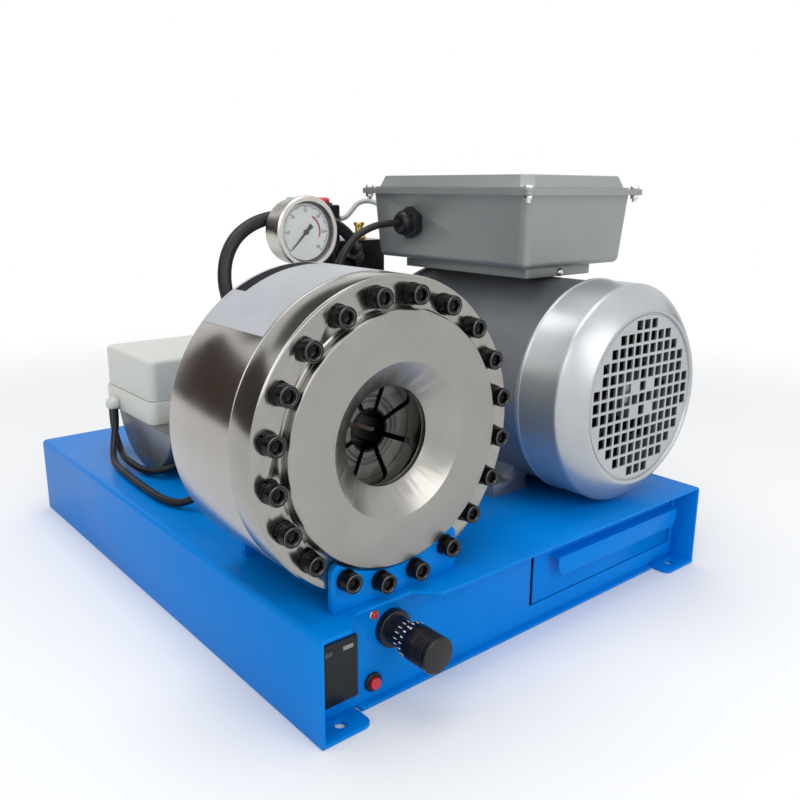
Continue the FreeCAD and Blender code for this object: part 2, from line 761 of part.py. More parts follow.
def fan():
    hub = rod(MOTOR_X, FAN_Y, MOTOR_Z, FAN_HUB_R, FAN_LEN)
    disc = rod(MOTOR_X, FAN_Y + FAN_LEN - 3, MOTOR_Z, FAN_R, 3)
    wheel = hub.fuse(disc)
    for k in range(FAN_BLADES):
        blade = box(FAN_HUB_R - 2, 4, -1.2, FAN_R - 2, FAN_LEN, 1.2)
        blade.rotate(V(0, 0, 0), V(0, -1, 0), 360.0 / FAN_BLADES * k)
        wheel = wheel.fuse(blade.translated(V(MOTOR_X, FAN_Y, MOTOR_Z)))
    return wheel.cut(rod(MOTOR_X, FAN_Y - 1, MOTOR_Z, SHAFT_R, FAN_LEN + 2)).removeSplitter()


def motor_shaft():
    y0 = FAN_Y + 2
    return rod(MOTOR_X, y0, MOTOR_Z, SHAFT_R, MOTOR_BACK_Y + SHIELD_T + BELL_LEN - 6 - y0)


def bell_housing():
    profile = [(SHAFT_R + 8, 0), (BELL_R + 14, 0), (BELL_R + 14, 8), (BELL_R - 8, BELL_LEN - 6),
               (BELL_R - 8, BELL_LEN), (SHAFT_R + 8, BELL_LEN)]
    return turned(profile, MOTOR_X, MOTOR_BACK_Y + SHIELD_T, MOTOR_Z)


def gear_pump():
    y0 = MOTOR_BACK_Y + SHIELD_T + BELL_LEN
    w = PUMP_W / 2
    h = PUMP_H / 2
    body = box(MOTOR_X - w, y0, MOTOR_Z - h, MOTOR_X + w, y0 + PUMP_LEN, MOTOR_Z + h)
    right = edges_along(body, V(0, 1, 0), lambda m: m.x > MOTOR_X)
    body = body.makeFillet(18, right)
    return body.fuse(rod(MOTOR_X + 10, y0 + PUMP_LEN, MOTOR_Z, 16, 10)).removeSplitter()


def block_corner():
    return MOTOR_X - PUMP_W / 2 - BLOCK_W, MOTOR_BACK_Y + SHIELD_T + BELL_LEN


def valve_block():
    x0, y0 = block_corner()
    block = box(x0, y0, BLOCK_Z, x0 + BLOCK_W, y0 + BLOCK_D, BLOCK_TOP_Z)
    block = block.makeChamfer(1.5, edges_along(block, V(0, 0, 1)))
    nut = hex_bar(V(*HOSE_END), V(*HOSE_END) - V(*HOSE[-2]), HOSE_NUT, 24)
    return block.fuse(nut).removeSplitter()


def brass_fitting():
    x0, y0 = block_corner()
    x = x0 + BRASS_DX
    y = y0 + BRASS_DY
    body = hex_bar(V(x, y, BLOCK_TOP_Z), V(0, 0, 1), 14, 8)
    body = body.fuse(rod(x, y, BLOCK_TOP_Z + 8, 5, 8, V(0, 0, 1)))
    return body.fuse(rod(x, y, BLOCK_TOP_Z + 16, 6.5, 4, V(0, 0, 1))).removeSplitter()


def button_centre(s):
    y = MOTOR_BACK_Y + SHIELD_T + BELL_LEN + BLOCK_D - STATION_D / 2
    return STATION_X + s * BUTTON_SPACING / 2, y


def button_station():
    w = STATION_W / 2
    y = button_centre(0)[1]
    d = STATION_D / 2
    case = rounded_box(STATION_X - w, y - d, BLOCK_TOP_Z, STATION_X + w, y + d,
                       BLOCK_TOP_Z + STATION_H, 5, 2)
    top = BLOCK_TOP_Z + STATION_H
    for s in (-1, 1):
        x = button_centre(s)[0]
        case = case.fuse(rod(x, y, top, BUTTON_COLLAR_R, 2.5, V(0, 0, 1)))
        case = case.cut(rod(x, y, top - 8, BUTTON_R + BUTTON_FIT, 20, V(0, 0, 1)))
    collar = rod(STATION_X + w, y, BLOCK_TOP_Z + STATION_COLLAR_RISE, 6, 8, V(1, 0, 0))
    return case.fuse(collar).removeSplitter()


def station_button(s, dome):
    x, y = button_centre(s)
    top = BLOCK_TOP_Z + STATION_H
    cap = rod(x, y, top - 8 + BUTTON_TRAVEL + 0.5, BUTTON_R,
              BUTTON_H + 5, V(0, 0, 1))
    rim = [e for e in cap.Edges if e.BoundBox.ZMin > cap.BoundBox.ZMax - 1e-6]
    return cap.makeFillet(dome, rim)


def tapered_box(w, l, z0, z1, taper, corner):
    wires = []
    for z, inset in ((z0, taper), (z1, 0)):
        b = box(TBOX_X - w / 2 + inset, TBOX_Y - l / 2 + inset, z,
                TBOX_X + w / 2 - inset, TBOX_Y + l / 2 - inset, z + 1)
        b = b.makeFillet(corner, edges_along(b, V(0, 0, 1)))
        bottom = [f for f in b.Faces if f.BoundBox.ZMax < z + 1e-6][0]
        wires.append(bottom.OuterWire)
    return Part.makeLoft(wires, True, True)


def rim_plate(z0, t):
    w = TBOX_RIM_W / 2
    l = TBOX_RIM_L / 2
    plate = box(TBOX_X - w, TBOX_Y - l, z0, TBOX_X + w, TBOX_Y + l, z0 + t)
    return plate.makeFillet(TBOX_RIM_CORNER, edges_along(plate, V(0, 0, 1)))


def lid_screw_places():
    w = TBOX_RIM_W / 2 - LID_SCREW_INSET
    l = TBOX_RIM_L / 2 - LID_SCREW_INSET
    return [(TBOX_X + sx * w, TBOX_Y + sy * l) for sx in (-1, 1) for sy in (-1, 1)]


def terminal_box():
    body = tapered_box(TBOX_TOP_W, TBOX_TOP_L, TBOX_BOTTOM_Z, TBOX_RIM_Z, TBOX_TAPER,
                       TBOX_CORNER)
    low = [e for e in body.Edges if e.BoundBox.ZMax < TBOX_BOTTOM_Z + 1e-6]
    body = body.makeFillet(TBOX_LOW_R, low)
    body = body.fuse(rim_plate(TBOX_RIM_Z, TBOX_RIM_T))
    t = TBOX_WALL
    inside = tapered_box(TBOX_TOP_W - 2 * t, TBOX_TOP_L - 2 * t, TBOX_BOTTOM_Z + t,
                         TBOX_RIM_Z + TBOX_RIM_T + 1, TBOX_TAPER, TBOX_CORNER - t)
    body = body.cut(inside)
    for x, y in lid_screw_places():
        body = body.cut(rod(x, y, TBOX_RIM_Z - 1, LID_SCREW_R + 0.2, TBOX_RIM_T + 2,
                            V(0, 0, 1)))
    body = body.cut(rod(TBOX_X - TBOX_RIM_W / 2, GLAND_Y, GLAND_Z, GLAND_HEX / 2 - 3.9,
                        TBOX_RIM_W / 3, V(1, 0, 0)))
    return body


def terminal_lid():
    z0 = TBOX_RIM_Z + TBOX_RIM_T
    z1 = z0 + LID_RIM_T
    plate = rim_plate(z0, LID_RIM_T)
    top = z1 + LID_H
    step = tapered_box(TBOX_TOP_W, TBOX_TOP_L, z0, z1 + LID_STEP, 0, TBOX_CORNER)
    dome = lid_dome(z1, top, 2)
    rim = [e for e in dome.Edges if e.BoundBox.ZMin > top - 1e-6]
    lid = plate.fuse([step, dome.makeFillet(LID_TOP_R, rim)])
    lid = lid.cut(lid_dome(z0 - 1, top - TBOX_WALL, 2 + TBOX_WALL))
    for x, y in lid_screw_places():
        lid = lid.cut(rod(x, y, z0 - 1, LID_SCREW_R + 0.2, LID_RIM_T + 2, V(0, 0, 1)))
    return lid.removeSplitter()


def lid_dome(z0, z1, inset):
    """The lid's raised part: drafted walls and flat bevelled corners."""
    wires = []
    for z, i in ((z0, inset), (z1, inset + LID_DRAFT)):
        w = TBOX_TOP_W / 2 - i
        l = TBOX_TOP_L / 2 - i
        c = TBOX_CORNER
        corners = [(w - c, -l), (w, c - l), (w, l - c), (w - c, l), (c - w, l), (-w, l - c),
                   (-w, c - l), (c - w, -l)]
        points = [V(TBOX_X + x, TBOX_Y + y, z) for x, y in corners]
        wires.append(Part.makePolygon(points + points[:1]))
    return Part.makeLoft(wires, True, True)


def lid_screws():
    pieces = []
    top = TBOX_RIM_Z + TBOX_RIM_T + LID_RIM_T
    for x, y in lid_screw_places():
        shank = rod(x, y, TBOX_RIM_Z - 7, LID_SCREW_R, top + 7 - TBOX_RIM_Z, V(0, 0, 1))
        head = rod(x, y, top, LID_HEAD_R, LID_HEAD_H, V(0, 0, 1))
        rim = [e for e in head.Edges if e.BoundBox.ZMin > top + LID_HEAD_H - 1e-6]
        head = head.makeFillet(1.8, rim)
        nut = hex_bar(V(x, y, TBOX_RIM_Z - LID_NUT_H), V(0, 0, 1), LID_NUT, LID_NUT_H)
        pieces.append(shank.fuse([head, nut]).removeSplitter())
    return Part.makeCompound(pieces)


def box_saddle():
    w = SADDLE_W / 2
    l = SADDLE_L / 2
    plate = box(TBOX_X - w, TBOX_Y - l, TBOX_BOTTOM_Z - SADDLE_T, TBOX_X + w, TBOX_Y + l,
                TBOX_BOTTOM_Z)
    plate = plate.makeFillet(TBOX_RIM_CORNER, edges_along(plate, V(0, 0, 1)))
    neck = box(TBOX_X - w + SADDLE_NECK, TBOX_Y - l + SADDLE_NECK, MOTOR_Z + MOTOR_R * 0.8,
               TBOX_X + w - SADDLE_NECK, TBOX_Y + l - SADDLE_NECK,
               TBOX_BOTTOM_Z - SADDLE_T)
    saddle = plate.fuse(neck)
    saddle = saddle.cut(rod(MOTOR_X, TBOX_Y - l - 1, MOTOR_Z, MOTOR_R, SADDLE_L + 2))
    return saddle.removeSplitter()


def lead_glands():
    tip = GLAND_SEAT_X - GLAND_LEN
    thread = rod(GLAND_SEAT_X, GLAND_Y, GLAND_Z, GLAND_HEX / 2 - 4, 9, V(1, 0, 0))
    nut = hex_bar(V(GLAND_SEAT_X - GLAND_NUT, GLAND_Y, GLAND_Z), V(1, 0, 0), GLAND_HEX,
                  GLAND_NUT)
    dome = rod(tip, GLAND_Y, GLAND_Z, GLAND_HEX / 2 - 2, GLAND_LEN - GLAND_NUT, V(1, 0, 0))
    rim = [e for e in dome.Edges if e.BoundBox.XMax < tip + 1e-6]
    main = thread.fuse([nut, dome.makeFillet(6, rim)]).removeSplitter()
    wall = REAR_GLAND_TIP_Y - REAR_GLAND_LEN
    rear = hex_y(REAR_GLAND_X, wall, REAR_GLAND_Z, REAR_GLAND_HEX, 4)
    collar = rod(REAR_GLAND_X, wall, REAR_GLAND_Z, REAR_GLAND_HEX / 2 - 1.5, REAR_GLAND_LEN)
    return Part.makeCompound([main, rear.fuse(collar).removeSplitter()])


def gauge_manifold():
    w = MANIFOLD_W / 2
    x = HEAD_X + PORT_DX
    z = HEAD_Z + PORT_DZ
    y0 = MANIFOLD_Y - MANIFOLD_D / 2
    block = box(x - w, y0, z - MANIFOLD_D / 2, x + w, y0 + MANIFOLD_D, z + MANIFOLD_D / 2)
    block = block.makeChamfer(1.5, edges_along(block, V(0, 0, 1)))
    back = FLANGE_Y + FLANGE_T + BODY_LEN
    nipple = rod(x, back - BACK_WALL + 3, z, PORT_R, y0 - back + BACK_WALL - 3)
    nut = hex_y(x, back, z, 27, 12)
    gland = hex_bar(V(*HOSE[0]), V(1, 0, 0), HOSE_NUT - 2, x - w - HOSE[0][0])
    return block.fuse([nipple, nut, gland]).removeSplitter()


def gauge_case():
    d = GAUGE_DEPTH
    sink = GAUGE_DIAL_SINK
    profile = [(0, sink), (GAUGE_R - GAUGE_RIM, sink), (GAUGE_R - GAUGE_RIM, 0),
               (GAUGE_R - 1.5, 0), (GAUGE_R, 1.5), (GAUGE_R, 7), (GAUGE_CASE_R, 8.5),
               (GAUGE_CASE_R, d - 2), (GAUGE_CASE_R - 2, d), (0, d)]
    case = turned(profile, GAUGE_X, GAUGE_FRONT_Y, GAUGE_Z)
    bottom = HEAD_Z + PORT_DZ + MANIFOLD_D / 2
    y = GAUGE_FRONT_Y + d / 2
    stem = rod(GAUGE_X, y, bottom, STEM_R, GAUGE_Z - GAUGE_CASE_R + 4 - bottom, V(0, 0, 1))
    flats = box(GAUGE_X - 7, y - 7, bottom + 10, GAUGE_X + 7, y + 7, bottom + 24)
    return case.fuse([stem, flats]).removeSplitter()


def gauge_lens():
    return rod(GAUGE_X, GAUGE_FRONT_Y + 1.5, GAUGE_Z, GAUGE_R - GAUGE_RIM - LENS_FIT,
               GAUGE_LENS_T)


def gauge_pointer():
    y = GAUGE_FRONT_Y + GAUGE_DIAL_SINK - 2.2
    reach = GAUGE_R - GAUGE_RIM - 6
    needle = [(-9, -2.4), (-9, 2.4), (0, 1.2), (reach, 0.3), (reach, -0.3), (0, -1.2)]
    pointer = prism_y(needle, 0, 0.8).fuse(rod(0, -0.4, 0, 2.6, 1.6))
    pointer.rotate(V(0, 0, 0), V(0, -1, 0), GAUGE_SWEEP_START)
    return pointer.translated(V(GAUGE_X, y, GAUGE_Z)).removeSplitter()


def oil_tank():
    z = TOP_Z + TANK_R
    drum = Part.makeCylinder(TANK_R, TANK_LEN, V(TANK_X, TANK_Y, z), V(1, 0, 0))
    keep = box(TANK_X - 1, TANK_Y - TANK_R - 1, TOP_Z, TANK_X + TANK_LEN + 1,
               TANK_Y + TANK_R + 1, TANK_TOP_Z)
    return drum.common(keep)


def control_box():
    z = TANK_TOP_Z
    body = rounded_box(CBOX_X, CBOX_Y, z, CBOX_X + CBOX_W, CBOX_Y + CBOX_D,
                       z + CBOX_RIM_H, CBOX_CORNER)
    t = CBOX_WALL
    inside = rounded_box(CBOX_X + t, CBOX_Y + t, z + t, CBOX_X + CBOX_W - t,
                         CBOX_Y + CBOX_D - t, z + CBOX_RIM_H + 1, CBOX_CORNER - t)
    return body.cut(inside)


def control_lid():
    z = TANK_TOP_Z + CBOX_RIM_H
    i = CBOX_LIP
    lid = rounded_box(CBOX_X + i, CBOX_Y + i, z, CBOX_X + CBOX_W - i, CBOX_Y + CBOX_D - i,
                      z + CBOX_LID_H, CBOX_CORNER, 5)
    t = CBOX_WALL
    inside = rounded_box(CBOX_X + i + t, CBOX_Y + i + t, z - 1, CBOX_X + CBOX_W - i - t,
                         CBOX_Y + CBOX_D - i - t, z + CBOX_LID_H - t, CBOX_CORNER - t)
    return lid.cut(inside)


def box_gland():
    ball = Part.makeSphere(CBOX_GLAND_R, V(CBOX_X - 6, CBOX_GLAND_Y, CBOX_GLAND_Z + 2))
    neck = rod(CBOX_X - 6, CBOX_GLAND_Y, CBOX_GLAND_Z + 2, 5, 6, V(1, 0, 0))
    keep = box(CBOX_X - 30, CBOX_GLAND_Y - 20, SIGNAL_A[0][2], CBOX_X,
               CBOX_GLAND_Y + 20, CBOX_GLAND_Z + 30)
    return ball.fuse(neck).common(keep).removeSplitter()


def display():
    y = PANEL_FRONT_Y
    w = DISPLAY_W / 2
    bezel = box(DISPLAY_X - w, y - DISPLAY_PROUD, DISPLAY_Z, DISPLAY_X + w, y,
                DISPLAY_Z + DISPLAY_H)
    fronts = edges_along(bezel, V(0, 1, 0))
    bezel = bezel.makeFillet(1.2, fronts)
    body = box(DISPLAY_X - w + 2.5, y, DISPLAY_Z + 2.5, DISPLAY_X + w - 2.5,
               y + DISPLAY_BODY, DISPLAY_Z + DISPLAY_H - 2.5)
    return bezel.fuse(body).removeSplitter()


def indicator_lamp():
    y = PANEL_FRONT_Y
    stem = rod(LAMP_X, y, LAMP_Z, LAMP_R - 0.1, 16)
    bezel = rod(LAMP_X, y - 1.8, LAMP_Z, LAMP_BEZEL_R, 1.8)
    lens = rod(LAMP_X, y - 4, LAMP_Z, LAMP_R - 0.2, 2.2)
    rim = [e for e in lens.Edges if e.BoundBox.YMax < y - 4 + 1e-6]
    return bezel.fuse([stem, lens.makeFillet(1.2, rim)]).removeSplitter()


def push_ring():
    y = PANEL_FRONT_Y
    profile = [(PUSH_CAP_R + BUTTON_FIT, -3), (PUSH_RING_R - 1, -3), (PUSH_RING_R, -2),
               (PUSH_RING_R, 0), (PUSH_CAP_R + 0.9, 0), (PUSH_CAP_R + 0.9, 18), (2.1, 18),
               (2.1, 14), (PUSH_CAP_R + BUTTON_FIT, 14)]
    return turned(profile, PUSH_X, y, PUSH_Z)


def push_button():
    y = PANEL_FRONT_Y
    cap = rod(PUSH_X, y - 3 - PUSH_TRAVEL - 0.5, PUSH_Z, PUSH_CAP_R, 12)
    rim = [e for e in cap.Edges if e.BoundBox.YMax < cap.BoundBox.YMin + 1e-6]
    cap = cap.makeFillet(1, rim)
    return cap.fuse(rod(PUSH_X, y + 5, PUSH_Z, 2, 14)).removeSplitter()


def dial_base():
    y = PANEL_FRONT_Y
    r = SPINDLE_R + DIAL_FIT
    end = DIAL_RING_T + DIAL_SLEEVE_LEN
    profile = [(r, 10), (SPINDLE_R + 3.9, 10), (SPINDLE_R + 3.9, 0), (DIAL_RING_R, 0),
               (DIAL_RING_R, 0.8 - DIAL_RING_T), (DIAL_RING_R - 0.8, -DIAL_RING_T),
               (DIAL_SLEEVE_R, -DIAL_RING_T), (DIAL_SLEEVE_R, -end), (r, -end)]
    return turned(profile, DIAL_X, y, DIAL_Z)


def dial_spindle():
    y0 = PANEL_FRONT_Y - THIMBLE_START - THIMBLE_LEN + THIMBLE_CAP / 2
    return rod(DIAL_X, y0, DIAL_Z, SPINDLE_R, PANEL_FRONT_Y + 30 - y0)


def dial_thimble():
    y = PANEL_FRONT_Y
    a = -THIMBLE_START
    b = a - THIMBLE_LEN
    inner = DIAL_SLEEVE_R + DIAL_FIT
    bore = SPINDLE_R + DIAL_FIT
    skirt = b + THIMBLE_CAP
    profile = [(inner, a), (THIMBLE_R - 1.2, a), (THIMBLE_R, a - 2.5), (THIMBLE_R, b + 1),
               (THIMBLE_R - 1, b), (0, b), (0, b + THIMBLE_CAP / 2 - DIAL_FIT),
               (bore, b + THIMBLE_CAP / 2 - DIAL_FIT), (bore, skirt), (inner, skirt)]
    body = turned(profile, DIAL_X, y, DIAL_Z)
    for k in range(THIMBLE_GROOVES):
        u = b + 5 + 3.2 * k
        ring = turned([(THIMBLE_R - 0.9, u), (THIMBLE_R + 1, u), (THIMBLE_R + 1, u + 1.3),
                       (THIMBLE_R - 0.9, u + 1.3)], DIAL_X, y, DIAL_Z)
        body = body.cut(ring)
    return body


def cable_grommets():
    rings = []
    for x, y in (GROMMET_A, GROMMET_B, GROMMET_C):
        top = rod(x, y, TOP_Z, GROMMET_R, GROMMET_H, V(0, 0, 1))
        neck = rod(x, y, TOP_UNDER_Z - 1, GROMMET_R - 2.1, SHEET + 1, V(0, 0, 1))
        rings.append(top.fuse(neck).removeSplitter())
    return Part.makeCompound(rings)


def motor_foot_bolts():
    bolts = []
    for x, y in foot_bolt_places():
        z = TOP_Z + MOTOR_FOOT_T
        head = hex_bar(V(x, y, z), V(0, 0, 1), FOOT_BOLT_HEX, FOOT_BOLT_HEAD)
        nut = hex_bar(V(x, y, TOP_UNDER_Z - FOOT_BOLT_NUT), V(0, 0, 1), FOOT_BOLT_HEX,
                      FOOT_BOLT_NUT)
        low = TOP_UNDER_Z - FOOT_BOLT_NUT - FOOT_BOLT_TIP
        shank = rod(x, y, low, SCREW_R, z - low, V(0, 0, 1))
        bolts.append(shank.fuse([head, nut]).removeSplitter())
    return Part.makeCompound(bolts)


def box_wall_inset(z):
    """How far the tapered wall of the terminal box has come in at a height."""
    return TBOX_TAPER * (TBOX_RIM_Z - z) / (TBOX_RIM_Z - TBOX_BOTTOM_Z)


GROMMET_TOP = TOP_Z + GROMMET_H
GLAND_SEAT_X = TBOX_X - TBOX_TOP_W / 2 + box_wall_inset(GLAND_Z + GLAND_HEX / 2)
REAR_GLAND_TIP_Y = (TBOX_Y + TBOX_TOP_L / 2 - box_wall_inset(REAR_GLAND_Z + 9)
                    + REAR_GLAND_LEN)

# Motor lead: from the terminal box gland, down behind the head, into the base
MOTOR_LEAD = [(GLAND_SEAT_X - GLAND_LEN, GLAND_Y, GLAND_Z)] + spanned([
    (182, -42, 366), (161, -41, 361.5), (141, -40, 351), (124, -41, 333), (114, -44, 308),
    (110, -48, 280), (109, -54, 250), (110, -60, 218), (112, -65, 184), (115, -71.5, 150),
    (118, -77, 118)]) + [(*GROMMET_C, GROMMET_TOP)]

# Two signal leads out of the control box
SIGNAL_A = spanned([
    (-40, 200.2, 148), (-40, 200.2, 125.6), (-40, 194.6, 112), (-40.5, 184.2, 101.6),
    (-42.5, 170.6, 96), (-45.5, 150, 95.6), (-47, 128, 95.5), (-46, 106, 95.5),
    (-40.5, 87.5, 97), (-29, 73, 102.5), (-13.5, 62.5, 111.5), (2, 54.8, 123),
    (18.9, 47.5, 135), (31.4, 39.7, 137.6), (43.5, 30.8, 132.8), (52.9, 23.8, 122.2),
    (58, 20, 107.9)]) + [(*GROMMET_A, GROMMET_TOP)]
SIGNAL_B = spanned([
    (-40, 191.8, 148), (-40, 191.8, 131), (-44.5, 187.3, 117), (-50.5, 177.5, 105.5),
    (-57, 162.5, 97.5), (-61, 145, 94.8), (-62.8, 124, 94.5), (-64.6, 98, 94.5),
    (-66, 68, 94.5), (-66.5, 38, 94.5), (-66, 14, 94.5), (-62.5, -6, 95),
    (-55.1, -21.4, 97.8), (-34.4, -46.4, 116.5), (-13, -72.5, 136), (-3, -84.5, 137.6),
    (6.5, -96.1, 132.8), (13.9, -105.1, 122.2),
    (18, -110, 107.9)]) + [(*GROMMET_B, GROMMET_TOP)]

# Light grey lead between the terminal box and the push-button station
STATION_LEAD = [(REAR_GLAND_X, REAR_GLAND_TIP_Y, REAR_GLAND_Z)] + spanned([
    (263, 51, 378), (262.5, 64.5, 382), (260, 77, 386.5), (254.5, 86.5, 387.5),
    (246, 91.5, 384), (239, 92, 376.5), (231.5, 92, 369.5),
    (225, 92, BLOCK_TOP_Z + STATION_COLLAR_RISE),
    (217, 92, BLOCK_TOP_Z + STATION_COLLAR_RISE)])

# Pressure hose from the manifold behind the head to the valve block
HOSE_END = (across(194), 30.0, BLOCK_TOP_Z - HOSE_END_DROP)
HOSE = spanned([
    (38, -65, 262), (17, -65, 262), (-1, -62, 272), (-13, -57, 290), (-17, -50, 314),
    (-11, -44, 339), (4, -39, 358), (27, -34.5, 370), (54, -29, 375), (82, -22, 376),
    (110, -15, 373), (136, -8, 367), (160, 1, 357),
    (180, 13, HOSE_END[2] + 12)]) + [HOSE_END]

PIECES = {
    "base_shell": base_shell,
    "front_panel": front_panel,
    "rear_panel": rear_panel,
    "drawer": drawer,
    "drawer_runners": drawer_runners,
    "cylinder_body": cylinder_body,
    "front_flange": front_flange,
    "nose_ring": nose_ring,
    "ram_piston": ram_piston,
    "flange_screws": flange_screws,
    "spring_washers": spring_washers,
    "motor_housing": motor_housing,
    "motor_foot_bolts": motor_foot_bolts,
    "drive_end_shield": drive_end_shield,
    "fan_cover": fan_cover,
    "fan": fan,
    "motor_shaft": motor_shaft,
    "bell_housing": bell_housing,
    "gear_pump": gear_pump,
    "valve_block": valve_block,
    "brass_fitting": brass_fitting,
    "button_station": button_station,
    "terminal_box": terminal_box,
    "terminal_lid": terminal_lid,
    "lid_screws": lid_screws,
    "box_saddle": box_saddle,
    "lead_glands": lead_glands,
    "gauge_manifold": gauge_manifold,
    "gauge_case": gauge_case,
    "gauge_lens": gauge_lens,
    "gauge_pointer": gauge_pointer,
    "oil_tank": oil_tank,
    "control_box": control_box,
    "control_lid": control_lid,
    "box_gland": box_gland,
    "display": display,
    "indicator_lamp": indicator_lamp,
    "push_ring": push_ring,
    "push_button": push_button,
    "dial_base": dial_base,
    "dial_spindle": dial_spindle,
    "dial_thimble": dial_thimble,
    "cable_grommets": cable_grommets,
}

for name, make in PIECES.items():
    save(name, make())

save("head_bracket", bracket_plate(FLANGE_Y - BRACKET_T, NOSE_R + BRACKET_ARC_GAP))
save("head_cradle", bracket_plate(FLANGE_Y + FLANGE_T + BODY_LEN, NOSE_R + BRACKET_ARC_GAP))
for number in range(DIE_COUNT):
    save("die_" + str(number + 1), die(number))
save("station_green_button", station_button(-1, 2))
save("station_red_button", station_button(1, 3.5))
save("motor_lead", cord_tube(MOTOR_LEAD, LEAD_D, "motor lead"))
save("signal_lead_a", cord_tube(SIGNAL_A, SIGNAL_D, "signal lead a"))
save("signal_lead_b", cord_tube(SIGNAL_B, SIGNAL_D, "signal lead b"))
save("station_lead", cord_tube(STATION_LEAD, STATION_LEAD_D, "station lead"))
save("pressure_hose", cord_tube(HOSE, HOSE_D, "pressure hose"))
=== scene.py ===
# %% [markdown]
# # A hose crimping machine, dressed over its CAD frame
# The CAD model gives every piece its true place and size. This lesson loads it as a
# fixed frame, gives each piece the finish that the real machine has, and replaces the
# plain solids that the eye rests on with finer meshes of the same size.

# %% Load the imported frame
import math
import bmesh
import bpy
from mathutils import Matrix, Vector


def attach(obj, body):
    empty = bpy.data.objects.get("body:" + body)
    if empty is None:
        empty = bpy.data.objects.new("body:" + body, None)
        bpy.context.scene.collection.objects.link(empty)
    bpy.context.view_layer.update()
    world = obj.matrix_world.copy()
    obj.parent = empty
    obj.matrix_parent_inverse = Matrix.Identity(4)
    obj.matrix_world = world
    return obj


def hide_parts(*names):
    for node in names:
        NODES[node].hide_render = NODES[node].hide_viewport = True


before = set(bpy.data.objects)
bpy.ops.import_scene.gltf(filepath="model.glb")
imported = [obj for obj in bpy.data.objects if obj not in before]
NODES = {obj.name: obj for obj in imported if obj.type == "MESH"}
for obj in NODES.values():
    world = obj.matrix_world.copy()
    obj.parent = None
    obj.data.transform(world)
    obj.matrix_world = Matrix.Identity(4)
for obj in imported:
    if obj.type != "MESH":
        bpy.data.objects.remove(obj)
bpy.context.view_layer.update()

# %% [markdown]
# ## Camera
# The machine was photographed from its front left corner, a little above the head.
# A camera needs a place, a direction and a lens. All three were worked out from the
# straight edges of the base and the circles of the head, so the render can be laid
# over the photograph.

# %% Place the camera
EYE = Vector((-0.54235, -0.74483, 0.40304))
YAW = 0.698121
PITCH = 0.253109
ROLL = 0.0061204
SENSOR_MM = 36.0
FOCAL_SHARE = 820.1 / 800.0


def look_matrix(yaw, pitch, roll):
    """Columns: the camera's right, its up, and the way from the object to it."""
    forward = Vector((math.sin(yaw) * math.cos(pitch), math.cos(yaw) * math.cos(pitch),
                      -math.sin(pitch)))
    right = Vector((math.cos(yaw), -math.sin(yaw), 0.0))
    up = right.cross(forward)
    right_rolled = right * math.cos(roll) + up * math.sin(roll)
    up_rolled = up * math.cos(roll) - right * math.sin(roll)
    return Matrix((right_rolled, up_rolled, -forward)).transposed().to_4x4()


def link_piece(name, data):
    """Put a mesh, curve, lamp or camera in the scene, at the origin."""
    piece = bpy.data.objects.new(name, data)
    bpy.context.scene.collection.objects.link(piece)
    return piece


lens = bpy.data.cameras.new("photo_camera")
lens.sensor_width = SENSOR_MM
lens.lens = SENSOR_MM * FOCAL_SHARE
camera = link_piece("photo_camera", lens)
camera.matrix_world = Matrix.Translation(EYE) @ look_matrix(YAW, PITCH, ROLL)
bpy.context.scene.camera = camera
print("camera lens:", round(lens.lens, 1), "mm")

# %% [markdown]
# ## Small helpers
# The drawing of this machine is in millimetres and Blender works in metres, so every
# mesh helper takes millimetres and scales once, when the mesh is made. Most small
# pieces are loops of points, each joined to the next, so one function stitches them
# all. The node helpers add a node and feed its sockets in one call, for materials and
# for Geometry Nodes alike.

# %% Helpers for meshes
MM = 0.001
SHARP_ANGLE = math.radians(40)


def add_piece(name, bm, smooth=True, outward=True, sharp=False):
    """Make a mesh object from a bmesh that was drawn in millimetres."""
    if outward:
        bmesh.ops.recalc_face_normals(bm, faces=bm.faces)
    bmesh.ops.scale(bm, vec=(MM, MM, MM), verts=bm.verts)
    for face in bm.faces:
        face.smooth = smooth
    mesh = bpy.data.meshes.new(name)
    bm.to_mesh(mesh)
    bm.free()
    if sharp:
        mesh.set_sharp_from_angle(angle=SHARP_ANGLE)
    return link_piece(name, mesh)


def stitch(bm, loops, caps=True):
    """Join each loop of points to the next with faces, and close both ends."""
    for first, second in zip(loops, loops[1:]):
        for i in range(len(first)):
            j = (i + 1) % len(first)
            corners = list(dict.fromkeys((first[i], first[j], second[j], second[i])))
            if len(corners) > 2:
                bm.faces.new(corners)
    if caps:
        bm.faces.new(loops[0])
        bm.faces.new(loops[-1])


def bake_modifiers(piece):
    """Turn a piece with modifiers into a plain mesh."""
    graph = bpy.context.evaluated_depsgraph_get()
    mesh = bpy.data.meshes.new_from_object(piece.evaluated_get(graph))
    piece.modifiers.clear()
    old = piece.data
    piece.data = mesh
    if old.users == 0:
        bpy.data.meshes.remove(old)
    return piece


def dress(piece, material, slot, *replaced, body="machine"):
    """Give a finished piece its finish and its body, and hide the nodes it stands for; slot
    is not used.
    """
    piece.data.materials.clear()
    piece.data.materials.append(material)
    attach(piece, body)
    if replaced:
        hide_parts(*replaced)
    return piece


# %% Helpers for node trees
VALUE = "NodeSocketFloat"
COLOUR = "NodeSocketColor"
VECTOR = "NodeSocketVector"
NUMBER = "NodeSocketInt"
OBJECT = "NodeSocketObject"
MIX_SOCKETS = {"FLOAT": (2, 3, 0), "RGBA": (6, 7, 2)}


def feed(tree, node, sockets):
    """Give each named socket of a node a value or a wire."""
    for socket, value in sockets.items():
        if isinstance(value, bpy.types.NodeSocket):
            tree.links.new(value, node.inputs[socket])
        else:
            node.inputs[socket].default_value = value
    return node


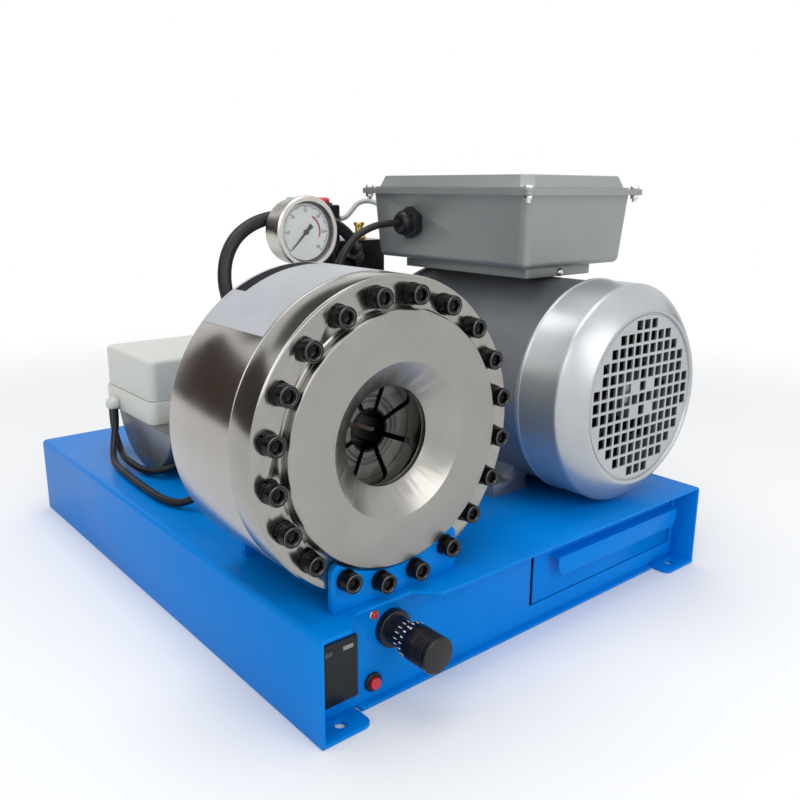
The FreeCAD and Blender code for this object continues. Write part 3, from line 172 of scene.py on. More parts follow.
def add_node(tree, kind, sockets=None, **settings):
    """Add a node, set its options, then feed its sockets."""
    node = tree.nodes.new(kind)
    for name, value in settings.items():
        setattr(node, name, value)
    return feed(tree, node, sockets or {})


def new_tree(name, kind, inputs, outputs):
    """A tree with named sockets, what its input node gives, and its output node."""
    tree = bpy.data.node_groups.new(name, kind)
    for socket, socket_kind, value in inputs:
        made = tree.interface.new_socket(socket, in_out="INPUT", socket_type=socket_kind)
        if value is not None:
            made.default_value = value
    for socket, socket_kind in outputs:
        tree.interface.new_socket(socket, in_out="OUTPUT", socket_type=socket_kind)
    given = tree.nodes.new("NodeGroupInput").outputs
    return tree, given, tree.nodes.new("NodeGroupOutput")


def math_node(tree, operation, first, second=None, kind="ShaderNodeMath"):
    """The result of one sum; kind is ShaderNodeVectorMath for vectors."""
    sockets = {0: first} if second is None else {0: first, 1: second}
    return add_node(tree, kind, sockets, operation=operation).outputs[0]


def length_of(tree, vector):
    return add_node(tree, "ShaderNodeVectorMath", {0: vector},
                    operation="LENGTH").outputs["Value"]


def combined(tree, **parts):
    """A vector from its X, Y and Z, each a value or a wire."""
    return add_node(tree, "ShaderNodeCombineXYZ", parts).outputs[0]


def mixed(tree, kind, factor, first, second):
    """Blend two values or two colours; a Mix node has its own sockets for each kind."""
    a, b, result = MIX_SOCKETS[kind]
    return add_node(tree, "ShaderNodeMix", {0: factor, a: first, b: second},
                    data_type=kind).outputs[result]


print("kinds of mix:", list(MIX_SOCKETS))


# %% [markdown]
# ## Light
# A plain studio: a pale world from all sides, one large soft lamp above, one from the
# left front and one from straight in front. The camera, glossy rays and glass see a
# white room, so bare steel is bright. Steel only shows what stands round it, so a few
# dark cards stand where the camera never looks, and only glossy rays can see them. They
# draw the long brown-grey bands that the turned barrel shows.

# %% Floor and cards
FLOOR_SIZE = 14.0
WHITE_FROM = 0.75
WHITE_TO = 1.6
PRINCIPLED = "Principled BSDF"


def stage_plane(name, size_x, size_y, location, rotation, material):
    bm = bmesh.new()
    bmesh.ops.create_grid(bm, x_segments=1, y_segments=1, size=0.5)
    mesh = bpy.data.meshes.new(name)
    bm.to_mesh(mesh)
    bm.free()
    mesh.materials.append(material)
    plane = link_piece(name, mesh)
    plane.scale = (size_x, size_y, 1)
    plane.location = location
    plane.rotation_euler = rotation
    return plane


def flat_material(name, colour, roughness, specular=0.5):
    material = bpy.data.materials.new(name)
    material.use_nodes = True
    feed(material.node_tree, material.node_tree.nodes[PRINCIPLED],
         {"Base Color": (*colour, 1), "Roughness": roughness,
          "Specular IOR Level": specular})
    return material


def seen_directly(tree):
    """1 for rays from the camera, off metal and through glass, else 0."""
    path = add_node(tree, "ShaderNodeLightPath").outputs
    value = path["Is Camera Ray"]
    for kind in ("Is Glossy Ray", "Is Transmission Ray"):
        value = math_node(tree, "MAXIMUM", value, path[kind])
    return value


# The floor keeps the shadow near the machine and fades to the white of the room.
FLOOR = flat_material("pale_floor", (0.9, 0.9, 0.9), 0.8, 0.15)
floor_tree = FLOOR.node_tree
floor_place = add_node(floor_tree, "ShaderNodeTexCoord").outputs["Object"]
floor_fade = add_node(floor_tree, "ShaderNodeMapRange", {
    "Value": length_of(floor_tree, floor_place), "From Min": WHITE_FROM / FLOOR_SIZE,
    "From Max": WHITE_TO / FLOOR_SIZE}, interpolation_type="SMOOTHSTEP").outputs[0]
floor_mix = add_node(floor_tree, "ShaderNodeMixShader", {
    0: math_node(floor_tree, "MULTIPLY", floor_fade, seen_directly(floor_tree)),
    1: floor_tree.nodes[PRINCIPLED].outputs[0],
    2: add_node(floor_tree, "ShaderNodeEmission").outputs[0]})
feed(floor_tree, floor_tree.nodes["Material Output"], {0: floor_mix.outputs[0]})
stage_plane("floor", FLOOR_SIZE, FLOOR_SIZE, (0, 0, -0.0004), (0, 0, 0), FLOOR)

UPRIGHT = math.radians(90)
BROWN_CARD = flat_material("brown_card", (0.1, 0.07, 0.056), 0.9)
GREY_CARD = flat_material("grey_card", (0.12, 0.12, 0.125), 0.9)
# Name, width, height, place, lean and turn in degrees, colour.
CARDS = (("card_back_left", 4.4, 2.5, (-3.0, 3.0, 1.15), 90, 41, BROWN_CARD),
         ("card_back_high", 3.6, 1.4, (0.3, 1.9, 2.4), 135, 0, GREY_CARD),
         ("card_left", 1.6, 0.5, (-2.6, 0.4, 0.55), 90, 80, GREY_CARD),
         ("card_front", 2.2, 0.35, (1.2, -3.0, 0.95), 90, 10, GREY_CARD),
         ("card_right", 1.6, 0.5, (2.6, -0.6, 0.5), 90, -70, GREY_CARD))
for name, width, height, place, lean, turn, material in CARDS:
    card = stage_plane(name, width, height, place,
                       (math.radians(lean), 0, math.radians(turn)), material)
    card.visible_camera = False
    card.visible_diffuse = False
    card.visible_shadow = False
    card.visible_transmission = False
print("cards:", len(CARDS))

# %% Lamps and world


def area_lamp(name, size, power, place, target):
    lamp = bpy.data.lights.new(name, "AREA")
    lamp.shape = "SQUARE"
    lamp.size = size
    lamp.energy = power
    stand = link_piece(name, lamp)
    stand.location = place
    aim = Vector(target) - Vector(place)
    stand.rotation_euler = aim.to_track_quat("-Z", "Y").to_euler()
    stand.visible_camera = False


area_lamp("lamp_above", 1.6, 17.0, (-0.2, 0.1, 2.2), (0, 0, 0.1))
area_lamp("lamp_left_front", 1.2, 8.0, (-1.7, -1.2, 1.5), (0, 0, 0.2))
area_lamp("lamp_front", 1.5, 17.0, (0.0, -2.4, 1.35), (0, -0.2, 0.2))

world = bpy.data.worlds.new("studio_world")
world.use_nodes = True
bpy.context.scene.world = world
sky = world.node_tree
sky.nodes.clear()
seen = add_node(sky, "ShaderNodeBackground", {"Color": (1, 1, 1, 1)})
light = add_node(sky, "ShaderNodeBackground", {"Color": (0.96, 0.98, 1.0, 1),
                                               "Strength": 0.68})
both = add_node(sky, "ShaderNodeMixShader", {
    0: seen_directly(sky), 1: light.outputs[0], 2: seen.outputs[0]})
add_node(sky, "ShaderNodeOutputWorld", {0: both.outputs[0]})
bpy.context.scene.view_settings.view_transform = "Standard"
print("lamps:", len(bpy.data.lights))

# %% [markdown]
# ## Shared surface effects
# Real surfaces are never one flat colour. Three effects do most of the work here: slow
# cloudy variation of colour and gloss, the rings that a lathe tool leaves, and a fine
# grain for paint, castings and plastic. Each is one node group, built once, and each
# material places it with its own values.

# %% Effect groups


def off_axis(tree, place):
    """How far a point lies from the Y axis."""
    return length_of(tree, math_node(tree, "MULTIPLY", place, (1, 0, 1),
                                     "ShaderNodeVectorMath"))


cloud, cloud_in, cloud_out = new_tree(
    "cloudy_surface", "ShaderNodeTree",
    [("Vector", VECTOR, None), ("Scale", VALUE, 12.0), ("Colour A", COLOUR, None),
     ("Colour B", COLOUR, None), ("Rough A", VALUE, 0.3), ("Rough B", VALUE, 0.4)],
    [("Colour", COLOUR), ("Roughness", VALUE)])
cloud_noise = add_node(cloud, "ShaderNodeTexNoise", {
    "Vector": cloud_in["Vector"], "Scale": cloud_in["Scale"], "Detail": 5.0,
    "Roughness": 0.6})
cloud_share = add_node(cloud, "ShaderNodeMapRange", {
    "Value": cloud_noise.outputs["Fac"], "From Min": 0.3, "From Max": 0.7}).outputs[0]
feed(cloud, cloud_out, {
    "Colour": mixed(cloud, "RGBA", cloud_share, cloud_in["Colour A"],
                    cloud_in["Colour B"]),
    "Roughness": mixed(cloud, "FLOAT", cloud_share, cloud_in["Rough A"],
                       cloud_in["Rough B"])})

rings, rings_in, rings_out = new_tree(
    "lathe_rings", "ShaderNodeTree",
    [("Vector", VECTOR, None), ("Rings per Metre", VALUE, 1500.0)], [("Height", VALUE)])
rings_parts = add_node(rings, "ShaderNodeSeparateXYZ", {0: rings_in["Vector"]}).outputs
rings_place = combined(rings, X=off_axis(rings, rings_in["Vector"]), Y=rings_parts["Y"])
rings_noise = add_node(rings, "ShaderNodeTexNoise", {
    "Vector": rings_place, "Scale": rings_in["Rings per Metre"],
    "Detail": 3.0, "Roughness": 0.75}, noise_dimensions="2D")
feed(rings, rings_out, {"Height": rings_noise.outputs["Fac"]})

grain, grain_in, grain_out = new_tree(
    "fine_grain", "ShaderNodeTree",
    [("Vector", VECTOR, None), ("Coarse Scale", VALUE, 400.0),
     ("Fine Scale", VALUE, 1500.0)], [("Height", VALUE)])
grain_sizes = [add_node(grain, "ShaderNodeTexNoise", {
    "Vector": grain_in["Vector"], "Scale": grain_in[socket]}).outputs["Fac"]
    for socket in ("Coarse Scale", "Fine Scale")]
feed(grain, grain_out, {"Height": math_node(grain, "ADD", *grain_sizes)})
print("effect groups:", len(bpy.data.node_groups))

# %% [markdown]
# ## Finishes
# One function sets up a material: the shader's own sockets hold what is the same all
# over, the cloud group varies colour and roughness, and a grain or ring group feeds a
# Bump node. Steel is fully metallic, the grey and silver paints have some metal flake,
# and the blue paint and the coloured buttons have a clear coat. Two finishes get a
# second colour on top: a painted highlight on the screws' rims, lighter and metallic,
# and painted shade that makes the dies' bore near black.

# %% Function for finishes
RING_DEPTH = 0.00005
GRAIN_DEPTH = 0.0002
FINE_PORES = (900.0, 3000.0)


def lighter(colour, factor):
    return tuple(min(1.0, c * factor) for c in colour)


def finish(name, colour, rough, spread=0.1, rough_spread=0.06, scale=12.0, metallic=0.0,
           grain_scales=FINE_PORES, bump=0.0, axis=None, ring_scale=1500.0, ring_bump=0.0,
           sockets=None):
    """A procedural material; axis is the (x, z) of a lathe axis in metres."""
    material = bpy.data.materials.new(name)
    material.use_nodes = True
    tree = material.node_tree
    place = add_node(tree, "ShaderNodeTexCoord").outputs["Object"]
    if axis:
        place = add_node(tree, "ShaderNodeMapping", {
            "Vector": place, "Location": (-axis[0], 0, -axis[1])}).outputs["Vector"]
    varied = add_node(tree, "ShaderNodeGroup", {
        "Vector": place, "Scale": scale, "Colour A": (*lighter(colour, 1 - spread), 1),
        "Colour B": (*lighter(colour, 1 + spread), 1),
        "Rough A": max(0.02, rough - rough_spread), "Rough B": rough + rough_spread},
        node_tree=cloud).outputs
    fed = {"Metallic": metallic, "Base Color": varied["Colour"],
           "Roughness": varied["Roughness"], **(sockets or {})}
    if ring_bump:
        group, depth, scales = rings, RING_DEPTH, {"Rings per Metre": ring_scale}
    else:
        group, depth = grain, GRAIN_DEPTH
        scales = {"Coarse Scale": grain_scales[0], "Fine Scale": grain_scales[1]}
    if ring_bump or bump:
        texture = add_node(tree, "ShaderNodeGroup", {"Vector": place, **scales},
                           node_tree=group)
        fed["Normal"] = add_node(tree, "ShaderNodeBump", {
            "Strength": ring_bump or bump, "Distance": depth,
            "Height": texture.outputs["Height"]}).outputs["Normal"]
    feed(tree, tree.nodes[PRINCIPLED], fed)
    return material


# %% Steels and other metals
HEAD_AXIS = (-0.158, 0.216)
MOTOR_AXIS = (0.145, 0.204)
GAUGE_AXIS = (-0.092, 0.361)
DIAL_AXIS = (-0.164, 0.060)
SPECULAR = "Specular IOR Level"

STEEL = finish("turned_steel", (0.42, 0.4, 0.38), 0.19, 0.06, 0.04, 20.0, 1.0,
               axis=HEAD_AXIS, ring_scale=900.0, ring_bump=0.18)
STEEL_FACE = finish("faced_steel", (0.335, 0.328, 0.305), 0.3, 0.05, 0.05, 25.0, 1.0,
                    axis=HEAD_AXIS, ring_scale=1200.0, ring_bump=0.12)
FLANGE_STEEL = finish("flange_steel", (0.345, 0.338, 0.315), 0.19, 0.05, 0.04, 25.0, 1.0,
                      axis=HEAD_AXIS, ring_scale=1200.0, ring_bump=0.1)
DIE_STEEL = finish("hardened_steel", (0.115, 0.113, 0.108), 0.36, 0.12, 0.08, 60.0, 1.0,
                   axis=HEAD_AXIS, ring_scale=1800.0, ring_bump=0.25)
RAM_STEEL = finish("ram_steel", (0.02, 0.02, 0.02), 0.45, 0.12, 0.08, 40.0, 0.6,
                   axis=HEAD_AXIS, ring_scale=1500.0, ring_bump=0.2)
GAUGE_STEEL = finish("brushed_gauge_steel", (0.6, 0.58, 0.54), 0.3, 0.08, 0.05, 60.0, 1.0,
                     axis=GAUGE_AXIS, ring_scale=1600.0, ring_bump=0.25)
ANODISED = finish("black_anodised", (0.006, 0.006, 0.007), 0.28, 0.2, 0.06, 60.0,
                  axis=DIAL_AXIS, ring_scale=2200.0, ring_bump=0.2,
                  sockets={SPECULAR: 0.4})
BLACK_OXIDE = finish("black_oxide", (0.004, 0.004, 0.0045), 0.24, 0.25, 0.06, 120.0,
                     grain_scales=(900.0, 2600.0), bump=0.12, sockets={SPECULAR: 0.26})
SCREW_OXIDE = finish("screw_oxide", (0.004, 0.004, 0.0045), 0.22, 0.25, 0.06, 120.0,
                     grain_scales=(900.0, 2600.0), bump=0.12, sockets={SPECULAR: 0.17})
CAST = finish("cast_aluminium", (0.45, 0.46, 0.47), 0.45, 0.1, 0.08, 30.0, 0.8,
              grain_scales=(350.0, 1300.0), bump=0.35)
ZINC = finish("bright_zinc", (0.7, 0.7, 0.68), 0.26, 0.1, 0.08, 80.0, 1.0, bump=0.1)
BRASS = finish("brass", (0.72, 0.5, 0.16), 0.24, 0.1, 0.06, 90.0, 1.0, bump=0.1)
print("metals:", len(bpy.data.materials))

# %% Paints, plastics, rubber, ink and glass
BLUE = finish("blue_gloss_paint", (0.0, 0.2, 0.66), 0.36, 0.05, 0.05, 9.0,
              grain_scales=(260.0, 900.0), bump=0.12,
              sockets={"Coat Weight": 0.03, "Coat Roughness": 0.14, SPECULAR: 0.06})
SILVER = finish("silver_paint", (0.46, 0.48, 0.495), 0.34, 0.07, 0.05, 14.0, 0.7,
                grain_scales=(700.0, 2400.0), bump=0.12)
MOTOR_GREY = finish("motor_grey", (0.27, 0.285, 0.31), 0.4, 0.1, 0.06, 14.0, 0.6,
                    grain_scales=(500.0, 1800.0), bump=0.2)
BOX_GREY = finish("terminal_box_paint", (0.3, 0.315, 0.31), 0.4, 0.06, 0.05, 10.0, 0.45,
                  grain_scales=(500.0, 2000.0), bump=0.2)
TANK_GREY = finish("grey_tank_paint", (0.19, 0.2, 0.205), 0.32, 0.12, 0.08, 14.0, 0.5,
                   grain_scales=(400.0, 1500.0), bump=0.15)
WHITE = finish("white_plastic", (0.6, 0.61, 0.565), 0.38, 0.03, 0.05, 14.0,
               grain_scales=(600.0, 2400.0), bump=0.08)
BLACK_PLASTIC = finish("black_plastic", (0.008, 0.008, 0.009), 0.36, 0.2, 0.08, 70.0,
                       bump=0.12, sockets={SPECULAR: 0.35})
RUBBER = finish("black_rubber", (0.01, 0.01, 0.011), 0.4, 0.2, 0.08, 90.0,
                grain_scales=(800.0, 2600.0), bump=0.2, sockets={SPECULAR: 0.35})
GREY_RUBBER = finish("light_grey_sheath", (0.5, 0.51, 0.5), 0.5, 0.06, 0.08, 60.0,
                     grain_scales=(800.0, 2600.0), bump=0.15)
RED = finish("red_plastic", (0.62, 0.012, 0.015), 0.26, 0.08, 0.05, 60.0, bump=0.06,
             sockets={"Coat Weight": 0.4})
GREEN = finish("green_plastic", (0.01, 0.3, 0.17), 0.28, 0.08, 0.05, 60.0, bump=0.06,
               sockets={"Coat Weight": 0.4})
DIAL_WHITE = finish("dial_enamel", (0.93, 0.94, 0.94), 0.45, 0.02, 0.04, 30.0, bump=0.04)
DIAL_BLACK = finish("dial_ink", (0.01, 0.01, 0.012), 0.6, 0.1, 0.05, 60.0, bump=0.04,
                    sockets={SPECULAR: 0.1})
DIAL_RED = finish("dial_red_ink", (0.55, 0.02, 0.04), 0.45, 0.08, 0.05, 60.0, bump=0.04)
MARK_WHITE = finish("white_ink", (0.8, 0.8, 0.78), 0.5, 0.04, 0.05, 60.0, bump=0.04)
PLATE = finish("bare_label_plate", (0.5, 0.515, 0.55), 0.4, 0.05, 0.05, 30.0, 0.35,
               bump=0.06)
WINDOW = finish("display_window", (0.011, 0.0135, 0.013), 0.22, 0.1, 0.04, 40.0,
                bump=0.02, sockets={SPECULAR: 0.3})
STRIP_DARK = finish("display_strip_dark", (0.05, 0.053, 0.05), 0.4, 0.1, 0.05, 90.0,
                    bump=0.02)
STRIP_LIGHT = finish("display_strip_light", (0.26, 0.26, 0.25), 0.4, 0.1, 0.05, 90.0,
                     bump=0.02)
GLASS = finish("gauge_glass", (0.95, 0.97, 0.97), 0.04, 0.01, 0.01, 10.0,
               sockets={"Transmission Weight": 1.0, "IOR": 1.45})
print("materials:", len(bpy.data.materials))

# %% Painted rim highlights and painted shade in the bore
# Painted highlight colour for the screws' rims.
PAINTED_RIM_HIGHLIGHT = (0.13, 0.13, 0.13)
# Painted shade colour for the inside of the dies' bore.
PAINTED_BORE_SHADE = (0.012, 0.012, 0.012)
BORE_DARK_TO = 0.0180
BORE_CLEAR_FROM = 0.0188


def laid_over(material, mask, colour):
    """Lay a second colour over a finish where a mask says so."""
    tree = material.node_tree
    shader = tree.nodes[PRINCIPLED]
    under = shader.inputs["Base Color"].links[0].from_socket
    feed(tree, shader, {"Base Color": mixed(tree, "RGBA", mask, under, (*colour, 1))})


# Painted highlight: the screws' rim rings get a lighter colour and turn metallic.
screw_tree = SCREW_OXIDE.node_tree
rim_highlight_mask = add_node(screw_tree, "ShaderNodeAttribute", attribute_name="rim_highlight").outputs["Fac"]
laid_over(SCREW_OXIDE, rim_highlight_mask, PAINTED_RIM_HIGHLIGHT)
feed(screw_tree, screw_tree.nodes[PRINCIPLED], {"Metallic": rim_highlight_mask})

# Painted shade: the dies are made near black towards the axis, inside the bore.
die_tree = DIE_STEEL.node_tree
bore_shade_mask = add_node(die_tree, "ShaderNodeMapRange", {
    "Value": off_axis(die_tree, die_tree.nodes["Mapping"].outputs["Vector"]),
    "From Min": BORE_DARK_TO, "From Max": BORE_CLEAR_FROM, "To Min": 1.0, "To Max": 0.0})
laid_over(DIE_STEEL, bore_shade_mask.outputs[0], PAINTED_BORE_SHADE)
print("black bore up to", round(BORE_DARK_TO / MM, 1), "mm from the axis")

# %% Paint the CAD nodes that stay
PAINTED = ((STEEL, "dial_spindle", "motor_shaft"), (ZINC, "drawer_runners"),
           (GAUGE_STEEL, "gauge_case"), (WHITE, "box_gland"), (RUBBER, "cable_grommets"),
           (BLACK_PLASTIC, "fan", "gauge_pointer", "display", "push_ring"),
           (RED, "indicator_lamp", "push_button", "station_red_button"),
           (GREEN, "station_green_button"), (GLASS, "gauge_lens"))
for material, *names in PAINTED:
    for name in names:
        NODES[name].data.materials.clear()
        NODES[name].data.materials.append(material)
print("painted nodes:", sum(len(row) - 1 for row in PAINTED))

# %% [markdown]
# ## Softened sheet metal, castings and mouldings
# No real edge is perfectly sharp: a folded sheet, a sawn block and a moulded lid all
# catch a thin line of light along their edges. The CAD solids already have the right
# form, so these pieces start as merged copies of them. Flat regions are dissolved back
# into single faces, and a Bevel modifier rounds the edges that are left.

# %% Soften copies of the plain solids
FLAT_ANGLE = math.radians(0.6)
EDGE_ANGLE = math.radians(28)
MERGE_GAP = 1e-6
DIE_COUNT = 8


def merged_copy(name, node):
    """A clean copy of a CAD node: doubles merged and flat faces made one again."""
    bm = bmesh.new()
    bm.from_mesh(NODES[node].data)
    bmesh.ops.remove_doubles(bm, verts=bm.verts, dist=MERGE_GAP)
    bmesh.ops.dissolve_degenerate(bm, edges=bm.edges, dist=MERGE_GAP)
    bmesh.ops.dissolve_limit(bm, angle_limit=FLAT_ANGLE, verts=bm.verts, edges=bm.edges)
    bmesh.ops.scale(bm, vec=(1 / MM, 1 / MM, 1 / MM), verts=bm.verts)
    return add_piece(name, bm, outward=False)


def round_edges(piece, width, segments=2):
    """Round every real corner of a piece by a width in millimetres."""
    bevel = piece.modifiers.new("edges", "BEVEL")
    bevel.width = width * MM
    bevel.segments = segments
    bevel.limit_method = "ANGLE"
    bevel.angle_limit = EDGE_ANGLE
    bevel.use_clamp_overlap = True
    bevel.miter_outer = "MITER_ARC"
    bake_modifiers(piece)
    piece.data.set_sharp_from_angle(angle=SHARP_ANGLE)
    return piece


DIES = range(1, DIE_COUNT + 1)
BODY_OF = {"drawer": "drawer_body", "ram_piston": "ram", "dial_thimble": "thimble",
           **{f"die_{k}": f"die_segment_{k}" for k in DIES}}
# Finish, slot, and each node with the width of its rounded edges.
SOFT = (
    (BLUE, "blue_paint",
     {"base_shell": 0.5, "front_panel": 0.4, "rear_panel": 0.4, "drawer": 0.4,
      "head_bracket": 0.7, "head_cradle": 0.7}),
    (BOX_GREY, "silver_paint",
     {"terminal_box": 0.7, "terminal_lid": 0.6, "box_saddle": 0.8}),
    (MOTOR_GREY, "silver_paint",
     {"motor_housing": 0.8, "drive_end_shield": 0.8}),
    (CAST, "cast_aluminium", {"bell_housing": 1.2, "gear_pump": 1.2}),
    (BLACK_OXIDE, "black_oxide", {"valve_block": 0.8, "gauge_manifold": 0.6}),
    (TANK_GREY, "grey_paint", {"oil_tank": 1.5}),
    (WHITE, "white_plastic", {"control_box": 1.0, "control_lid": 0.8}),
    (BLACK_PLASTIC, "black_plastic",
     {"button_station": 0.6, "lead_glands": 0.4}),
    (FLANGE_STEEL, "turned_steel", {"front_flange": 0.25}),
    (STEEL, "turned_steel", {"cylinder_body": 0.4}),
    (STEEL_FACE, "turned_steel", {"nose_ring": 0.2}),
    (RAM_STEEL, "hardened_steel", {"ram_piston": 0.3}),
    (ANODISED, "black_anodised", {"dial_base": 0.2, "dial_thimble": 0.2}),
    (BRASS, "brass", {"brass_fitting": 0.4}),
    (ZINC, "zinc_steel", {"motor_foot_bolts": 0.4, "lid_screws": 0.2}),
    (DIE_STEEL, "hardened_steel", {f"die_{k}": 0.35 for k in DIES}),
)
for material, slot, widths in SOFT:
    for node, width in widths.items():
        dress(round_edges(merged_copy(node + "_soft", node), width), material, slot, node,
              body=BODY_OF.get(node, "machine"))
print("softened pieces:", sum(len(row[-1]) for row in SOFT))

# %% [markdown]
# ## Rings of screws, washers and the perforated grille
# Twenty socket screws hold the front flange, and each stands on a split spring washer.
# One screw is drawn as rings of points, and the two rings at its rims carry a value
# for a painted highlight that the finish reads. A Geometry Nodes tree sets the screw out
# round the bolt circle, steps the four lower ones out over the bracket, and turns each
# one a little so that no two sockets line up. The grille's square holes are one punch set
# out on a grid and cut from the spun cover by the same means.

# %% Shapes from loops of points


def ring_solid(name, rings, count=48, highlight_rings=()):
    """A closed solid from rings of (height, radius); those in highlight_rings carry a
    painted rim highlight.
    """
    bm = bmesh.new()
    rim_highlight = bm.verts.layers.float.new("rim_highlight")
    loops = []
    for number, (height, radius) in enumerate(rings):
        loop = []
        for i in range(count):
            a = math.tau * i / count
            r = radius(a) if callable(radius) else radius
            point = bm.verts.new((r * math.cos(a), height, r * math.sin(a)))
            point[rim_highlight] = 1.0 if number in highlight_rings else 0.0
            loop.append(point)
        loops.append(loop)
    stitch(bm, loops)
    return add_piece(name, bm, sharp=True)


def prism(name, outline, y, thick, smooth=False):
    """A plate that faces the front, from an outline of (x, z)."""
    bm = bmesh.new()
    stitch(bm, [[bm.verts.new((x, depth, z)) for x, z in outline]
                for depth in (y - thick, y)])
    return add_piece(name, bm, smooth=smooth)


def spun(name, outline, axis, y0, count=192):
    """Spin a closed outline of (radius, depth) round an axis along Y."""
    bm = bmesh.new()
    cx, cz = axis[0] / MM, axis[1] / MM
    poles = {n: bm.verts.new((cx, y0 + u, cz)) for n, (r, u) in enumerate(outline) if not r}
    loops = []
    for i in range(count):
        a = math.tau * i / count
        loops.append([poles[n] if n in poles else bm.verts.new(
            (cx + r * math.cos(a), y0 + u, cz + r * math.sin(a)))
            for n, (r, u) in enumerate(outline)])
    stitch(bm, loops + loops[:1], caps=False)
    return add_piece(name, bm, sharp=True)


def band(name, axis, section, start, sweep, count=64):
    """Carry a closed section of (radius, y) round part of a turn and cap its ends."""
    bm = bmesh.new()
    cx, cz = axis[0] / MM, axis[1] / MM
    loops = []
    for i in range(count + 1):
        a = math.radians(start + sweep * i / count)
        loops.append([bm.verts.new((cx + r * math.cos(a), y, cz + r * math.sin(a)))
                      for r, y in section])
    stitch(bm, loops)
    return add_piece(name, bm, sharp=True)


def rectangle(x0, z0, x1, z1):
    return [(x0, z0), (x1, z0), (x1, z1), (x0, z1)]


# %% One screw and one washer
HEAD_R = 8.0
HEAD_HIGH = 10.0
SHANK_R = 5.0
SOCKET_FLATS = 8.0
FRONT_GRIP = 56.0
REAR_GRIP = 20.0
# Rings of the screw that carry the painted rim highlight.
HIGHLIGHT_RINGS = (7, 10)


def hexagon(across_flats):
    """Radius of a hexagon with a corner at 0 degrees."""
    apothem = across_flats / 2
    return lambda a: apothem / math.cos((a % (math.pi / 3)) - math.pi / 6)


def socket_screw(name, grip):
    h, r = HEAD_HIGH, HEAD_R
    shank = [(grip, SHANK_R - 0.7), (grip - 0.8, SHANK_R), (0.0, SHANK_R)]
    head = [(0.0, r - 0.4), (-0.35, r), (1.1 - h, r), (0.55 - h, r - 0.15),
            (0.15 - h, r - 0.55), (-h, r - 1.1), (-h, r - 1.8)]
    socket = [(0.2 - h, 5.7), (0.5 - h, 5.4), (0.8 - h, hexagon(SOCKET_FLATS + 0.9)),
              (1.2 - h, hexagon(SOCKET_FLATS + 0.1)), (-5.2, hexagon(SOCKET_FLATS)),
              (-4.9, 3.6), (-4.2, 0.8)]
    return ring_solid(name, shank + head + socket, highlight_rings=HIGHLIGHT_RINGS)


def split_washer(name, inner, outer, thick, lift, count=40):
    """A spring washer: one turn of square wire whose ends stand apart."""
    bm = bmesh.new()
    section = ((inner, -0.1), (outer - 0.3, -0.1), (outer, -0.4), (outer, 0.4 - thick),
               (outer - 0.3, 0.1 - thick), (inner, 0.1 - thick))
    loops = []
    for i in range(count + 1):
        a = math.radians(6) + (math.tau - math.radians(12)) * i / count
        rise = 0.1 * lift * (i / count - 0.5)
        loops.append([bm.verts.new((r * math.cos(a), y - rise, r * math.sin(a)))
                      for r, y in section])
    stitch(bm, loops)
    return add_piece(name, bm, sharp=True)


screw_front = socket_screw("screw_front", FRONT_GRIP)
screw_rear = socket_screw("screw_rear", REAR_GRIP)
screw_rear.data.transform(Matrix.Rotation(math.pi, 4, "Z"))
washer_one = split_washer("washer_one", 5.1, 8.6, 2.2, 1.0)
print("screw faces:", len(screw_front.data.polygons))

# %% What every Geometry Nodes tree here needs


def geometry_tree(name, inputs):
    """An empty Geometry Nodes tree with named inputs, the last of them a material."""
    geometry = ("Geometry", "NodeSocketGeometry")
    tree, given, output = new_tree(
        name, "GeometryNodeTree",
        [(*geometry, None), *inputs, ("Material", "NodeSocketMaterial", None)], [geometry])
    tree.is_modifier = True
    return tree, given, output


def set_out(tree, points, item, **more):
    """Put a copy of an object on each point."""
    info = add_node(tree, "GeometryNodeObjectInfo", {"Object": item})
    return add_node(tree, "GeometryNodeInstanceOnPoints", {
        "Points": points, "Instance": info.outputs["Geometry"], **more}).outputs[0]


def finish_tree(tree, given, output, instances):
    """Realize the instances, set the material and join the output."""
    real = add_node(tree, "GeometryNodeRealizeInstances", {0: instances})
    painted = add_node(tree, "GeometryNodeSetMaterial", {
        "Geometry": real.outputs[0], "Material": given["Material"]})
    feed(tree, output, {0: painted.outputs[0]})


def run_tree(name, tree, values, mesh=None):
    """Run a tree on a mesh, or on nothing, and keep the result as a plain mesh.

    Its inputs are set by their identifiers, before it is first evaluated.
    """
    piece = link_piece(name, mesh or bpy.data.meshes.new(name))
    modifier = piece.modifiers.new("tree", "NODES")
    modifier.node_group = tree
    for item in tree.interface.items_tree:
        if item.in_out == "INPUT" and item.name in values:
            modifier[item.identifier] = values[item.name]
    return bake_modifiers(piece)


# %% The bolt circle tree
SCREW_COUNT = 20
BRACKET_FROM = 13
BRACKET_TO = 16
RANDOM_MAX = 3

circle, circle_in, circle_out = geometry_tree("bolt_circle", [
    ("Fastener", OBJECT, None), ("Count", NUMBER, SCREW_COUNT), ("Radius", VALUE, 0.112),
    ("Phase", VALUE, 0.0), ("Centre", VECTOR, None), ("Step From", NUMBER, BRACKET_FROM),
    ("Step To", NUMBER, BRACKET_TO), ("Step Out", VALUE, 0.006), ("Keep From", NUMBER, 0),
    ("Keep To", NUMBER, SCREW_COUNT - 1), ("Turn", VALUE, 1.0), ("Seed", NUMBER, 7)])
ring_points = add_node(circle, "GeometryNodeMeshCircle", {
    "Vertices": circle_in["Count"], "Radius": circle_in["Radius"]})
ring_turn = combined(circle, X=UPRIGHT,
                     Y=math_node(circle, "MULTIPLY", circle_in["Phase"], -1.0))
stand_up = add_node(circle, "GeometryNodeTransform", {
    "Geometry": ring_points.outputs[0], "Translation": circle_in["Centre"],
    "Rotation": ring_turn})
place_number = add_node(circle, "GeometryNodeInputIndex").outputs[0]


def between(low, high):
    above = math_node(circle, "GREATER_THAN", place_number,
                      math_node(circle, "SUBTRACT", low, 0.5))
    below = math_node(circle, "LESS_THAN", place_number,
                      math_node(circle, "ADD", high, 0.5))
    return math_node(circle, "MULTIPLY", above, below)


